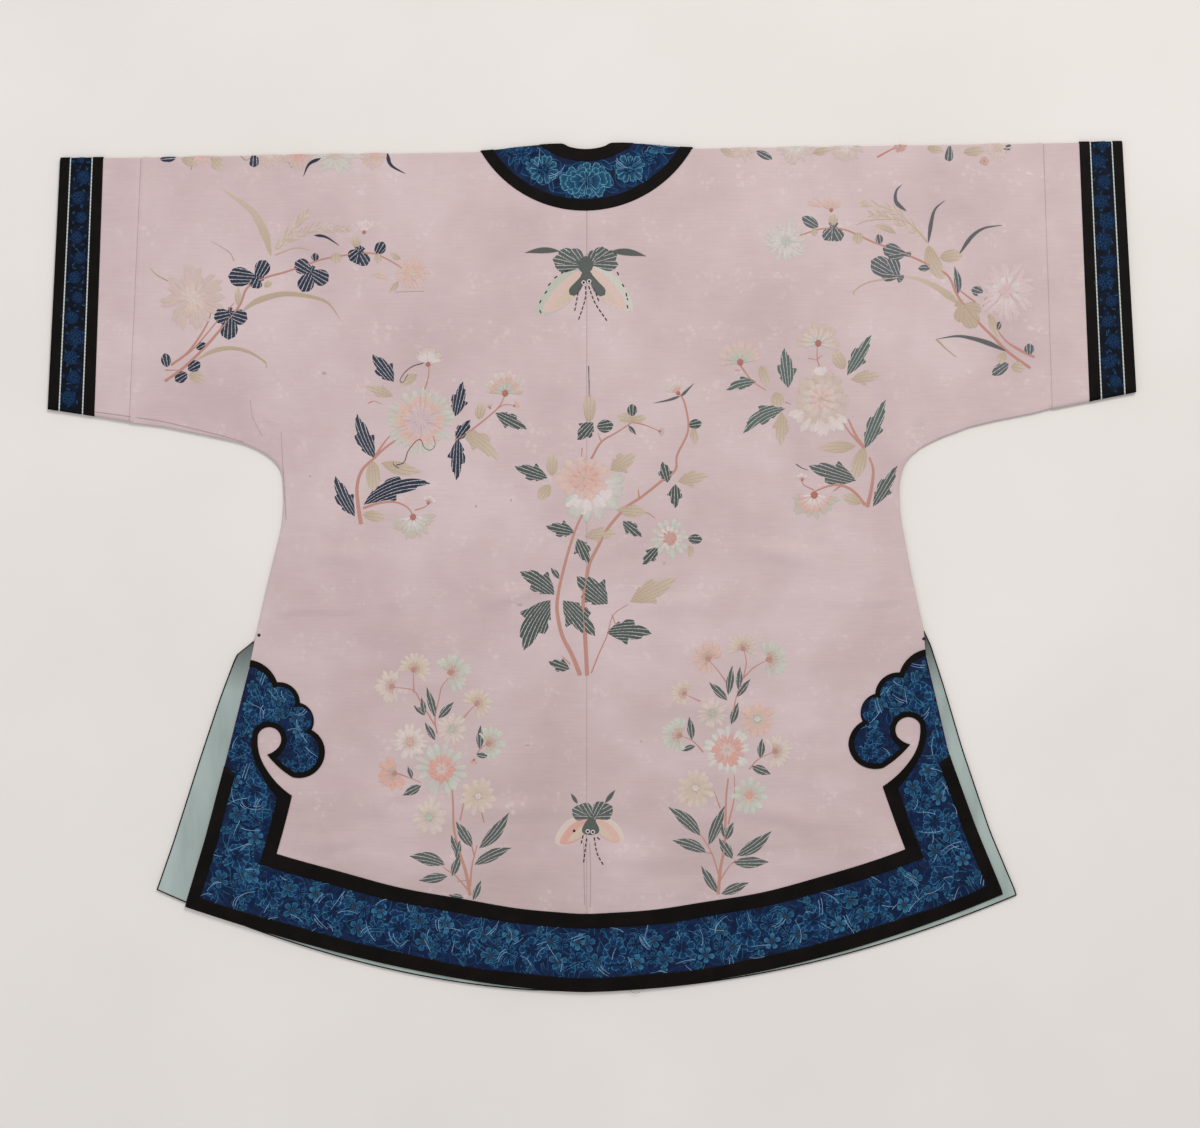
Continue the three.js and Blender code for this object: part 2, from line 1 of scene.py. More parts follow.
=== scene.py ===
import bpy
import numpy as np
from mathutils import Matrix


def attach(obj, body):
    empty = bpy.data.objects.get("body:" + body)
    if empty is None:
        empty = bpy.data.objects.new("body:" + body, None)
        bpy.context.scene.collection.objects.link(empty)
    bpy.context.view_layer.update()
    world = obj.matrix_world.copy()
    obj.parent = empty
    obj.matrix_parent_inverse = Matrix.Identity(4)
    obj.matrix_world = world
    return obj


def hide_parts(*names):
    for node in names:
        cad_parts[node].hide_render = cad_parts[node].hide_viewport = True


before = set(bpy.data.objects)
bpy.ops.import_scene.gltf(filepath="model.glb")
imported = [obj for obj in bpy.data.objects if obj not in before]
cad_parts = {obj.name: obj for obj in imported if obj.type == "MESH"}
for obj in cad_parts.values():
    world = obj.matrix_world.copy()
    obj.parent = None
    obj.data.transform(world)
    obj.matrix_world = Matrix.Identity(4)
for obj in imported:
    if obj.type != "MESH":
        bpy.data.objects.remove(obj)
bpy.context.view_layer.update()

scene = bpy.context.scene

# Surroundings: a plain pale floor under soft studio light, and a camera straight above the laid jacket.
# One millimetre of the jacket is MM metres, and every size below is in millimetres.
MM = 0.001
FLOOR_SIZE = 9000
FLOOR_HEX = "E9E5E2"
VIEW_WIDTH = 1440  # width of floor in the picture, at the height of the cloth
VIEW_CENTRE = (9.6, 3.0)
VIEW_LEVEL = 5  # mm over the floor, where the view's width is measured
LENS = 75
SENSOR = 36


def linear(hex_colour):
    """Linear RGBA from an sRGB hex colour: a channel c becomes ((c + 0.055) / 1.055) ** 2.4, or c / 12.92."""
    channels = np.array([int(hex_colour[i:i + 2], 16) for i in (0, 2, 4)]) / 255
    curve = np.where(channels <= 0.04045, channels / 12.92, ((channels + 0.055) / 1.055) ** 2.4)
    return (*curve.tolist(), 1.0)


def new_material(name, hex_colour, roughness, **sockets):
    """A principled material with its constants on the shader's own sockets."""
    material = bpy.data.materials.new(name)
    material.use_nodes = True
    shader = material.node_tree.nodes["Principled BSDF"]
    shader.inputs["Base Color"].default_value = linear(hex_colour)
    shader.inputs["Roughness"].default_value = roughness
    for socket, value in sockets.items():
        shader.inputs[socket.replace("_", " ")].default_value = value
    return material


def add_node(material, kind, settings=None, inputs=None, outputs=None):
    """A node with settings, input values or links, and links from its outputs to other sockets."""
    tree = material.node_tree
    node = tree.nodes.new(kind)
    for key, value in (settings or {}).items():
        setattr(node, key, value)
    for key, value in (inputs or {}).items():
        if isinstance(value, bpy.types.NodeSocket):
            tree.links.new(value, node.inputs[key])
        else:
            node.inputs[key].default_value = value
    for key, socket in (outputs or {}).items():
        tree.links.new(node.outputs[key], socket)
    return node


def shader_of(material):
    return material.node_tree.nodes["Principled BSDF"]


# Painted board: matt, with the faintest unevenness
floor_finish = new_material("floor_painted_board", FLOOR_HEX, 0.9)
floor_place = add_node(floor_finish, "ShaderNodeTexCoord")
floor_noise = add_node(
    floor_finish, "ShaderNodeTexNoise",
    inputs={"Vector": floor_place.outputs["Object"], "Scale": 3.0, "Detail": 4.0}
)
floor_ramp = add_node(floor_finish, "ShaderNodeValToRGB", inputs={"Fac": floor_noise.outputs["Fac"]})
floor_ramp.color_ramp.elements[0].position = 0.3
floor_ramp.color_ramp.elements[0].color = linear("E6E2DE")
floor_ramp.color_ramp.elements[1].position = 0.7
floor_ramp.color_ramp.elements[1].color = linear("ECE8E5")
floor_finish.node_tree.links.new(floor_ramp.outputs["Color"], shader_of(floor_finish).inputs["Base Color"])

floor_mesh = bpy.data.meshes.new("floor")
half_floor = FLOOR_SIZE / 2 * MM
floor_mesh.from_pydata(
    [(-half_floor, -half_floor, 0), (half_floor, -half_floor, 0), (half_floor, half_floor, 0),
     (-half_floor, half_floor, 0)],
    [], [(0, 1, 2, 3)],
)
floor = bpy.data.objects.new("floor", floor_mesh)
floor_mesh.materials.append(floor_finish)
scene.collection.objects.link(floor)

camera_data = bpy.data.cameras.new("camera")
camera_data.lens = LENS
camera_data.sensor_width = SENSOR
camera = bpy.data.objects.new("camera", camera_data)
camera_height = VIEW_WIDTH * LENS / SENSOR + VIEW_LEVEL
camera.location = (VIEW_CENTRE[0] * MM, VIEW_CENTRE[1] * MM, camera_height * MM)
scene.collection.objects.link(camera)
scene.camera = camera
scene.view_settings.view_transform = "Standard"

LIGHTS = [
    {"name": "key_light", "at": (1.2, 2.5, 3.9), "size": 1.5, "power": 92, "hex": "FFFCF8"},
    {"name": "fill_light", "at": (-2.0, -0.4, 2.6), "size": 2.4, "power": 12, "hex": "F6F8FF"},
]
for row in LIGHTS:
    light_data = bpy.data.lights.new(row["name"], "AREA")
    light_data.size = row["size"]
    light_data.energy = row["power"]
    light_data.color = linear(row["hex"])[:3]
    light = bpy.data.objects.new(row["name"], light_data)
    light.location = row["at"]
    light.rotation_euler = (-light.location).to_track_quat("-Z", "Y").to_euler()
    scene.collection.objects.link(light)
WORLD_STRENGTH = 0.62
world = bpy.data.worlds.new("studio")
world.use_nodes = True
world.node_tree.nodes["Background"].inputs["Color"].default_value = linear("F4F3F2")
world.node_tree.nodes["Background"].inputs["Strength"].default_value = WORLD_STRENGTH
scene.world = world

# The flat cut: every piece is worked out flat and then folded over at the shoulder, as the cutter folds it.
# On the cut, d is the distance from the centre-back seam and t the distance down from the shoulder fold,
# negative on the front. The sizes are those of the laid jacket, with its small left and right differences.
SEAM_X = -6.4
SHOULDER_Y = 500.3
LENGTH = 1011
LEAN = 0.0157
MIDDLE_Z = 3.3
FOLD_HALF = 3
FOLD_EASE = 0.9
NECK_RISE = {"height": 7, "from": 36, "to": 138}
NECK_CENTRE_T = -73.7
NECK_RADIUS = 73
SILK_W = (0.8, 2.0)  # inner and outer face of the silk, from the middle plane
TRIM_W = (2.04, 3.0)
LEFT = {
    "name": "left", "sign": -1, "mouth": (631.7, 646.8), "mouth_t": 301.5, "under": 0.168,
    "join": (534.6, 549),
    "back": (110, 482.3, 1.55), "front": (130.6, 516.6, 1.86), "head_stretch": 1.0,
}
RIGHT = {
    "name": "right", "sign": 1, "mouth": (642.6, 659.6), "mouth_t": 301.5, "under": 0.185,
    "join": (547.8, 558.6),
    "back": (110, 500.5, 1.88), "front": (108.2, 517.3, 1.95), "head_stretch": 1.07,
}
SIDES = (LEFT, RIGHT)
UNDERARM_TOP = 319
UNDERARM_LOW = 409
SLIT_TOP = 582
EDGE_T = (319, 324, 332, 340, 347, 355, 369, 384, 409, 445, 517, 582)
EDGE_D = {
    "left": (549, 510.6, 473.4, 437, 408, 391, 371.5, 364.5, 363, 365.5, 383.5, 398),
    "right": (558.6, 540, 495, 459, 441, 416, 392.5, 380.5, 375, 376.5, 390, 404.5),
}
BACK_SLIT_T = (606, 733, 820, 903)
BACK_SLIT_D = {"left": (403, 435, 458, 483), "right": (406, 435.5, 467, 501)}
FRONT_SLIT_T = (600, 650, 725, 825, 905)
FRONT_SLIT_D = {"left": (421, 440, 465, 497, 525), "right": (413, 429, 451, 484.5, 518)}


def smoothstep(x, low, high):
    """Rises from 0 at low to 1 at high as s * s * (3 - 2 s)."""
    s = np.clip((x - low) / (high - low), 0, 1)
    return s * s * (3 - 2 * s)


def mix(a, b, share):
    return a + (b - a) * share


def fold_rise(d):
    """How far the shoulder fold is lifted by the stiff neck bands."""
    return NECK_RISE["height"] * (1 - smoothstep(d, NECK_RISE["from"], NECK_RISE["to"]))


def edge_d(side, t, back=True):
    """Distance of the side edge from the centre seam at depth t, rounded below the sleeve."""
    slit_t, slit_d = (BACK_SLIT_T, BACK_SLIT_D) if back else (FRONT_SLIT_T, FRONT_SLIT_D)
    name = side["name"]
    table_t = EDGE_T + slit_t
    table_d = EDGE_D[name] + slit_d[name]
    reach = 9 * smoothstep(t, 335, 360) * (1 - 0.8 * smoothstep(t, 560, 580) * (1 - smoothstep(t, 610, 640)))
    return sum(np.interp(t + k * reach, table_t, table_d) for k in (-1, -0.5, 0, 0.5, 1)) / 5


def hem_drop(side, d, back=True):
    """Rise of the hem from its lowest point: drop * (d / corner) ** power."""
    drop, corner, power = side["back" if back else "front"]
    return drop * (np.maximum(d, 0) / corner) ** power


def plan(side, d, y):
    """Ground-plan x and y, with the whole garment leaning a little."""
    across = side["sign"] * d
    return SEAM_X + across, y + LEAN * across


# Soft ripples where the back does not lie quite flat: each is a long low cushion, with its middle at d and t.
# On top of them lies a finer unevenness, long across the body and short down it.
RIPPLES = (
    (-300, 482, 130, 34, 1.9, -4), (-85, 532, 150, 30, 3.0, 16), (232, 487, 160, 34, 2.1, -8),
    (120, 545, 150, 34, 2.0, 6), (315, 590, 120, 32, 1.8, 4), (-225, 768, 190, 36, 2.7, 22),
    (-90, 790, 150, 34, 2.0, 3), (150, 672, 180, 36, 2.3, -6), (225, 800, 170, 34, 2.4, -12),
    (-190, 640, 150, 34, 1.8, 8), (-300, 826, 110, 28, 1.9, 8), (60, 850, 130, 34, 1.6, -5),
    (-330, 560, 90, 28, 1.4, -12), (285, 700, 110, 30, 1.6, 8), (-60, 905, 140, 26, 1.3, 2),
    (-384, 322, 74, 15, 1.1, -62), (-352, 350, 110, 14, 1.0, -80), (402, 335, 90, 16, 1.0, 66),
)
RIPPLE_COLUMNS = ("across", "t", "length", "width", "height", "turn")
creases = np.random.default_rng(11)
CREASE_COUNT = 26
CREASE_WAVES = {
    "across": creases.uniform(0.0015, 0.006, CREASE_COUNT) * creases.choice((-1, 1), CREASE_COUNT),
    "down": creases.uniform(0.008, 0.03, CREASE_COUNT),
    "start": creases.uniform(0, 6.28, CREASE_COUNT),
    "height": creases.uniform(0.02, 0.075, CREASE_COUNT),
}


def ripple_height(across, t):
    """Sum of the cushions, each height * cos(pi a) ** 2 * cos(pi b) ** 2, and of the fine waves."""
    height = np.zeros(np.broadcast(across, t).shape)
    for values in RIPPLES:
        row = dict(zip(RIPPLE_COLUMNS, values))
        turn = np.radians(row["turn"])
        along = (across - row["across"]) * np.cos(turn) - (t - row["t"]) * np.sin(turn)
        over = (across - row["across"]) * np.sin(turn) + (t - row["t"]) * np.cos(turn)
        a = np.clip(along / row["length"], -0.5, 0.5)
        b = np.clip(over / row["width"], -0.5, 0.5)
        height += row["height"] * np.cos(np.pi * a) ** 2 * np.cos(np.pi * b) ** 2
    fine = np.zeros_like(height)
    for k in range(CREASE_COUNT):
        turns = CREASE_WAVES["across"][k] * across + CREASE_WAVES["down"][k] * t
        phase = 6.28 * turns + CREASE_WAVES["start"][k]
        fine += CREASE_WAVES["height"][k] * (1 + np.sin(phase))
    amount = 0.35 + 0.65 * smoothstep(t, 380, 560)
    return height + fine * amount * smoothstep(t, 8, 60)


def border_inset(side, d, t, back=True):
    """How far a point lies inside the nearer of the slit edge and the hem."""
    from_hem = (LENGTH - hem_drop(side, d, back) - t) * 0.96
    from_slit = (edge_d(side, t, back) - d) * 0.96
    return np.where(t > SLIT_TOP - 60, np.minimum(from_hem, from_slit + 500 * (t < SLIT_TOP - 30)), from_hem)


def back_lift(side, d, t):
    """Height of the back above its flat lie: ripples that die away under borders, cuffs and neck bands."""
    inset = border_inset(side, d, t)
    head = np.hypot(d - 352, t - 706)
    neck = np.hypot(d, t - NECK_CENTRE_T)
    keep = smoothstep(inset, 92, 118) * smoothstep(neck, 150, 185) * smoothstep(head, 62, 95)
    keep = keep * (1 - smoothstep(d, 545, 580))
    sewn = edge_d(side, np.maximum(t, UNDERARM_TOP)) - d
    keep = keep * np.where(t > UNDERARM_TOP, smoothstep(sewn, 2, 30), 1)
    return ripple_height(side["sign"] * d, t) * keep


def fold_over(side, d, t, w):
    """A point of the cut at distance w from the middle plane: flat, and half a circle at the shoulder.
    What lies on the silk stands a little further out at the fold, by FOLD_EASE."""
    rise = fold_rise(d)
    depth = t + rise
    angle = np.clip(depth / FOLD_HALF, -1, 1) * np.pi / 2
    eased = w + FOLD_EASE * np.clip(w - SILK_W[1], 0, 1)
    y = SHOULDER_Y + rise - np.maximum(np.abs(depth), FOLD_HALF) + eased * np.cos(angle)
    x, y = plan(side, d, y)
    lift = np.where(depth > FOLD_HALF, back_lift(side, d, t), 0)
    return np.stack([x, y, MIDDLE_Z + w * np.sin(angle) + lift], axis=-1)


def closed_wall(outer, inner):
    """Points and quads of the wall between two grids of the same size, with joined rims, facing out."""
    rows, columns = outer.shape[:2]
    count = rows * columns
    number = np.arange(count).reshape(rows, columns)
    corners = (number[:-1, :-1], number[:-1, 1:], number[1:, 1:], number[1:, :-1])
    top = np.stack([c.ravel() for c in corners], axis=1)
    rim = np.concatenate([number[0], number[1:, -1], number[-1, -2::-1], number[-2:0:-1, 0]])
    after = np.roll(rim, -1)
    sides = np.stack([after, rim, rim + count, after + count], axis=1)
    quads = np.concatenate([top, top[:, ::-1] + count, sides])
    points = np.concatenate([outer.reshape(-1, 3), inner.reshape(-1, 3)])
    a, b, c = (points[quads[:, k]] - points.mean(0) for k in (0, 1, 2))
    e = points[quads[:, 3]] - points.mean(0)
    volume = np.sum(a * np.cross(b, c)) + np.sum(a * np.cross(c, e))
    return points, quads if volume > 0 else quads[:, ::-1]


def add_piece(name, points, faces, material, slot, nodes=(), smooth=True):
    """A mesh object from points in millimetres, riding on the root body and standing for the named nodes."""
    mesh = bpy.data.meshes.new(name)
    mesh.from_pydata((np.asarray(points) * MM).tolist(), [], [list(map(int, face)) for face in faces])
    mesh.polygons.foreach_set("use_smooth", np.full(len(mesh.polygons), smooth))
    mesh.materials.append(material)
    piece = bpy.data.objects.new(name, mesh)
    scene.collection.objects.link(piece)
    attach(piece, "root")
    if nodes:
        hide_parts(*nodes)
    return piece


# Body halves: pale lilac-pink silk damask, a back and a front cut in one with the upper sleeve.
# They meet at the centre-back seam, whose pressed edges dip a little, and are sewn together at the sides.
BODY_COLUMNS = 118
FINE_ROWS = {"fold": 9, "sleeve": 66, "underarm": 34, "back": 128, "front": 60}
SEAM_DIP = {"depth": 0.5, "width": 2.0}
SEAM_START = 0.02
JOIN_RIDGE = {"height": 0.35, "width": 9}
JOIN_CREASE = {"depth": 0.28, "at": 7.5, "width": 1.1}


def row_t(row, hem_side, back, d):
    """Where a row lies on the cut: it follows the shoulder fold at the top and the hem's curve below."""
    size = np.abs(row)
    near_fold = np.clip(1 - (size - FOLD_HALF) / 90, 0, 1)
    towards_hem = np.clip((size - UNDERARM_LOW) / (LENGTH - UNDERARM_LOW), 0, 1) ** 1.5
    return np.sign(row) * (size - towards_hem * hem_drop(hem_side, d, back)) - near_fold * fold_rise(d)


def half_rows(back):
    """Signed row depths from just past the fold to the hem, closest together round the underarm."""
    sign = 1 if back else -1
    count = FINE_ROWS["back" if back else "front"]
    neck_low = np.array([5.0, 6.5, 9.0]) if back else 73.7 - 73 * np.cos(np.linspace(0.3, np.pi, 16))
    neck_low = neck_low[neck_low > FOLD_HALF + 1]
    sleeve = np.linspace(neck_low[-1], UNDERARM_TOP, FINE_ROWS["sleeve"] if back else 24)[1:]
    underarm = np.linspace(UNDERARM_TOP, UNDERARM_LOW, FINE_ROWS["underarm"])[1:]
    lower = np.linspace(UNDERARM_LOW, LENGTH, count)[1:]
    return sign * np.concatenate([neck_low, sleeve, underarm, lower])


def body_grid(side, rows, back, w_share):
    """Grid of a half's back or front: rows from the centre seam or neck edge out to the join or side edge."""
    start = np.full(len(rows), SEAM_START)
    for _ in range(10):
        off = row_t(rows, side, back, start) - NECK_CENTRE_T
        start = np.maximum(SEAM_START, np.sqrt(np.maximum(0, NECK_RADIUS ** 2 - off ** 2)))
    size = np.abs(rows)
    _, corner, _ = side["back" if back else "front"]
    end = np.full(len(rows), float(corner))
    for _ in range(14):
        end = edge_d(side, np.abs(row_t(rows, side, back, end)), back)
    join = mix(side["join"][0], side["join"][1], size / UNDERARM_TOP)
    end = np.where(size <= UNDERARM_TOP, join, end)
    u = np.linspace(0, 1, BODY_COLUMNS)
    share = np.concatenate(
        [[0, 0.0018, 0.0045], mix(0.009, 0.982, u), [0.9848, 0.9864, 0.988, 0.99, 0.9955, 0.9985, 1]]
    )
    d = start[:, None] + (end - start)[:, None] * share[None, :]
    t = row_t(rows[:, None], side, back, d)
    w = mix(SILK_W[0], SILK_W[1], w_share) * np.ones_like(d)
    from_edge = end[:, None] - d
    sewn = ((size > UNDERARM_TOP - 1) & (size < SLIT_TOP))[:, None]
    edge_round = np.sqrt(np.clip(from_edge / 5, 0, 1))
    w = np.where(sewn, mix(0.15 + 0.35 * w_share, w, edge_round), w)
    seam_dip = SEAM_DIP["depth"] * np.exp(-((d / SEAM_DIP["width"]) ** 2)) * (start[:, None] < 1)
    joined = (size <= UNDERARM_TOP)[:, None]
    join_dip = SEAM_DIP["depth"] * np.exp(-((from_edge / SEAM_DIP["width"]) ** 2)) * joined
    ridge = JOIN_RIDGE["height"] * smoothstep(
        from_edge, JOIN_RIDGE["width"] + 2, JOIN_RIDGE["width"] - 2
    ) * joined
    crease = JOIN_CREASE["depth"] * np.exp(
        -(((from_edge - JOIN_CREASE["at"]) / JOIN_CREASE["width"]) ** 2)
    ) * joined
    return fold_over(side, d, t, w - seam_dip - join_dip + (ridge - crease) * w_share), d, t


def body_skin(side, w_share):
    fold_rows = np.linspace(-FOLD_HALF, FOLD_HALF, FINE_ROWS["fold"])
    front = body_grid(side, half_rows(False)[::-1], False, w_share)
    middle = body_grid(side, fold_rows, True, w_share)
    back = body_grid(side, half_rows(True), True, w_share)
    return [np.concatenate(parts) for parts in zip(front, middle, back)]


# Silk damask: softly lustrous, faintly mottled with age, darker towards the bottom with soiling and with
# painted shade, and with small woven sprigs that catch the light.
# The true threads are 0.2 mm apart, too fine to show, so the weave is drawn at 1.6 mm.
SILK_HEX = {"pale": "D3BEC0", "deep": "C4ADAF", "soiled_and_shaded": "B9A3A3", "sprig": "DCC9C9"}
WEAVE_STEP = 1.6
SPRIG_REPEAT = (46, 62)
silk_finish = new_material("silk_damask", SILK_HEX["pale"], 0.55, Sheen_Weight=0.25, Sheen_Roughness=0.4)
silk_tree = silk_finish.node_tree
silk_place = add_node(silk_finish, "ShaderNodeTexCoord").outputs["Object"]


def silk_math(operation, a, b=0.0, c=0.0):
    return add_node(silk_finish, "ShaderNodeMath", {"operation": operation}, {0: a, 1: b, 2: c}).outputs[0]


silk_axes = add_node(silk_finish, "ShaderNodeSeparateXYZ", inputs={"Vector": silk_place})
broad_noise = add_node(
    silk_finish, "ShaderNodeTexNoise",
    inputs={"Vector": silk_place, "Scale": 5.5, "Detail": 5.0, "Roughness": 0.6}
)
stretch_place = add_node(
    silk_finish, "ShaderNodeMapping", inputs={"Vector": silk_place, "Scale": (6.0, 22.0, 1.0)}
)
band_noise = add_node(
    silk_finish, "ShaderNodeTexNoise",
    inputs={"Vector": stretch_place.outputs[0], "Scale": 1.0, "Detail": 4.0}
)
broad_ramp = add_node(silk_finish, "ShaderNodeValToRGB", inputs={"Fac": broad_noise.outputs["Fac"]})
broad_ramp.color_ramp.elements[0].position = 0.36
broad_ramp.color_ramp.elements[0].color = linear(SILK_HEX["deep"])
broad_ramp.color_ramp.elements[1].position = 0.62
broad_ramp.color_ramp.elements[1].color = linear(SILK_HEX["pale"])
# Darker mottling in long bands that grows towards the bottom: partly soiling, partly painted shade of the
# light falling off down the jacket.
low_part = silk_math("SMOOTH_MIN", silk_math("MULTIPLY_ADD", silk_axes.outputs["Y"], -1.3, 0.12), 0.75, 0.1)
soil_and_shade_share = silk_math(
    "MULTIPLY", silk_math("MAXIMUM", low_part, 0.05),
    silk_math("MULTIPLY_ADD", band_noise.outputs["Fac"], 3.0, -1.0)
)
soiled_and_shaded = add_node(
    silk_finish, "ShaderNodeMix", {"data_type": "RGBA", "clamp_factor": True},
    {"Factor": soil_and_shade_share, 6: broad_ramp.outputs["Color"], 7: linear(SILK_HEX["soiled_and_shaded"])},
)

# Woven sprigs: in each cell of the repeat, alternate rows shifted by half, a five-lobed flower figure.
# Its mask is 1 where the distance from the cell's middle is under a radius that swells five times round.
cell_row = silk_math("FLOOR", silk_math("MULTIPLY", silk_axes.outputs["Y"], 1 / (SPRIG_REPEAT[1] * MM)))
row_shift = silk_math("MULTIPLY", silk_math("PINGPONG", cell_row, 1.0), 0.5)
cell_x = silk_math(
    "ADD", silk_math("MULTIPLY", silk_axes.outputs["X"], 1 / (SPRIG_REPEAT[0] * MM)), row_shift
)
in_x = silk_math("MULTIPLY", silk_math("SUBTRACT", silk_math("FRACT", cell_x), 0.5), SPRIG_REPEAT[0])
cell_y = silk_math("MULTIPLY", silk_axes.outputs["Y"], 1 / (SPRIG_REPEAT[1] * MM))
in_y = silk_math("MULTIPLY", silk_math("SUBTRACT", silk_math("FRACT", cell_y), 0.5), SPRIG_REPEAT[1])
from_middle = silk_math(
    "SQRT", silk_math("ADD", silk_math("MULTIPLY", in_x, in_x), silk_math("MULTIPLY", in_y, in_y))
)
round_angle = silk_math("ARCTAN2", in_y, in_x)
lobes = silk_math(
    "MULTIPLY_ADD", silk_math("SINE", silk_math("MULTIPLY_ADD", round_angle, 3.0, 0.8)), 5.0, 15.0
)
leaf_lobes = silk_math("MULTIPLY_ADD", silk_math("SINE", silk_math("MULTIPLY", round_angle, 7.0)), 3.0, 0.0)
figure_edge = silk_math("SUBTRACT", silk_math("ADD", lobes, leaf_lobes), from_middle)
figure = add_node(
    silk_finish, "ShaderNodeMapRange", inputs={"Value": figure_edge, "From Min": -1.5, "From Max": 1.5}
).outputs[0]
figure_eye = add_node(
    silk_finish, "ShaderNodeMapRange",
    inputs={"Value": silk_math("SUBTRACT", from_middle, 4.0), "From Min": -1.0, "From Max": 1.0},
).outputs[0]
worn = add_node(
    silk_finish, "ShaderNodeTexNoise", inputs={"Vector": silk_place, "Scale": 22.0, "Detail": 3.0}
).outputs["Fac"]
petal_bits = add_node(
    silk_finish, "ShaderNodeTexVoronoi", {"feature": "F1"},
    {"Vector": silk_place, "Scale": 135.0, "Randomness": 0.9}
).outputs["Distance"]
petal_mask = add_node(
    silk_finish, "ShaderNodeMapRange", inputs={"Value": petal_bits, "From Min": 0.5, "From Max": 0.32}
).outputs[0]
sprig_share = silk_math(
    "MULTIPLY", silk_math("MULTIPLY", silk_math("MULTIPLY", figure, figure_eye), petal_mask),
    silk_math("MULTIPLY_ADD", worn, 3.4, -1.3), 0.0
)
sprig_share = silk_math("MAXIMUM", silk_math("MINIMUM", sprig_share, 1.0), 0.0)
with_sprigs = add_node(
    silk_finish, "ShaderNodeMix", {"data_type": "RGBA", "clamp_factor": True},
    {"Factor": silk_math("MULTIPLY", sprig_share, 0.45), 6: soiled_and_shaded.outputs[2], 7: linear(SILK_HEX["sprig"])},
)
warp = add_node(
    silk_finish, "ShaderNodeTexWave", {"wave_type": "BANDS", "bands_direction": "X"},
    {"Vector": silk_place, "Scale": 0.314 / (WEAVE_STEP * MM), "Distortion": 1.2, "Detail": 2.0,
     "Detail Scale": 0.6},
)
weft = add_node(
    silk_finish, "ShaderNodeTexWave", {"wave_type": "BANDS", "bands_direction": "Y"},
    {"Vector": silk_place, "Scale": 0.314 / (WEAVE_STEP * MM), "Distortion": 1.2, "Detail": 2.0,
     "Detail Scale": 0.6},
)
slub_place = add_node(
    silk_finish, "ShaderNodeMapping", inputs={"Vector": silk_place, "Scale": (30.0, 520.0, 1.0)}
)
slubs = add_node(
    silk_finish, "ShaderNodeTexNoise", inputs={"Vector": slub_place.outputs[0], "Scale": 1.0, "Detail": 3.0}
).outputs["Fac"]
weave = silk_math("MULTIPLY", silk_math("ADD", warp.outputs["Fac"], weft.outputs["Fac"]), 0.5)
thread_tone = silk_math(
    "ADD", silk_math("MULTIPLY", weave, 0.05), silk_math("MULTIPLY_ADD", slubs, 0.13, 0.905)
)
silk_colour = add_node(
    silk_finish, "ShaderNodeMix", {"data_type": "RGBA", "blend_type": "MULTIPLY"},
    {"Factor": 1.0, 6: with_sprigs.outputs[2], 7: thread_tone},
)
silk_tree.links.new(silk_colour.outputs[2], shader_of(silk_finish).inputs["Base Color"])
silk_rough = silk_math("MULTIPLY_ADD", sprig_share, -0.14, 0.58)
silk_tree.links.new(silk_rough, shader_of(silk_finish).inputs["Roughness"])
crease_noise = add_node(
    silk_finish, "ShaderNodeTexNoise",
    inputs={"Vector": stretch_place.outputs[0], "Scale": 2.4, "Detail": 5.0}
).outputs["Fac"]
silk_relief = silk_math(
    "MULTIPLY_ADD", crease_noise, 2.2, silk_math("MULTIPLY_ADD", weave, 0.25, sprig_share)
)
add_node(
    silk_finish, "ShaderNodeBump", inputs={"Strength": 0.35, "Distance": 0.0006, "Height": silk_relief},
    outputs={"Normal": shader_of(silk_finish).inputs["Normal"]},
)

for side in SIDES:
    outer, cut_d, cut_t = body_skin(side, 1)
    inner, _, _ = body_skin(side, 0)
    name = "body_" + side["name"]
    body = add_piece(name + "_silk", *closed_wall(outer, inner), silk_finish, "silk", [name])
    width = side["join"][1]

# Sleeve extensions: the same silk, sewn on where the loom width ends. They run under the cuff bands
# to the sleeve's mouth, and are folded over at the shoulder and sewn together along the under-edge.
SLEEVE_ROWS = 70


def sleeve_grid(side, d_at, w):
    """Grid over both layers of a sleeve, front to back. d_at gives a row's columns from its share of the way
    down; w is a column's distance from the middle plane, drawn in where the layers are sewn together."""
    down = np.concatenate([np.linspace(-1, -1 / 60, SLEEVE_ROWS), np.linspace(-0.8, 0.8, 7) / 60])
    down = np.concatenate([down, np.linspace(1 / 60, 1, SLEEVE_ROWS)])
    size = np.abs(down)[:, None]
    d = d_at(size)
    under = side["mouth_t"] + side["under"] * (side["mouth"][1] - d)
    layer_t = mix(FOLD_HALF, under, np.clip((size - 1 / 60) / (1 - 1 / 60), 0, 1))
    t = np.where(size < 1 / 60, down[:, None] * 60 * FOLD_HALF, np.sign(down)[:, None] * layer_t)
    pinch = 1 - np.sqrt(np.clip((1 - size) * under / 5, 0, 1))
    return fold_over(side, d, t, w - 0.65 * pinch), d, t


def mouth_d(side, size):
    return mix(side["mouth"][0], side["mouth"][1], size)


for side in SIDES:
    shares = np.concatenate([[0, 0.01, 0.022, 0.04, 0.06, 0.08, 0.1], np.linspace(0.14, 1, 24)])[None, :]
    dip = SEAM_DIP["depth"] * np.exp(-((shares * 100 / SEAM_DIP["width"]) ** 2))

    def extension_d(size):
        join = mix(side["join"][0], side["join"][1], size) + 0.1
        return join + (mouth_d(side, size) - join) * shares

    outer, cut_d, cut_t = sleeve_grid(side, extension_d, SILK_W[1] - dip)
    inner, _, _ = sleeve_grid(side, extension_d, SILK_W[0] - dip)
    name = "sleeve_" + side["name"]
    sleeve = add_piece(name + "_silk", *closed_wall(outer, inner), silk_finish, "silk", [name])
    width = side["mouth"][1] - side["join"][0]

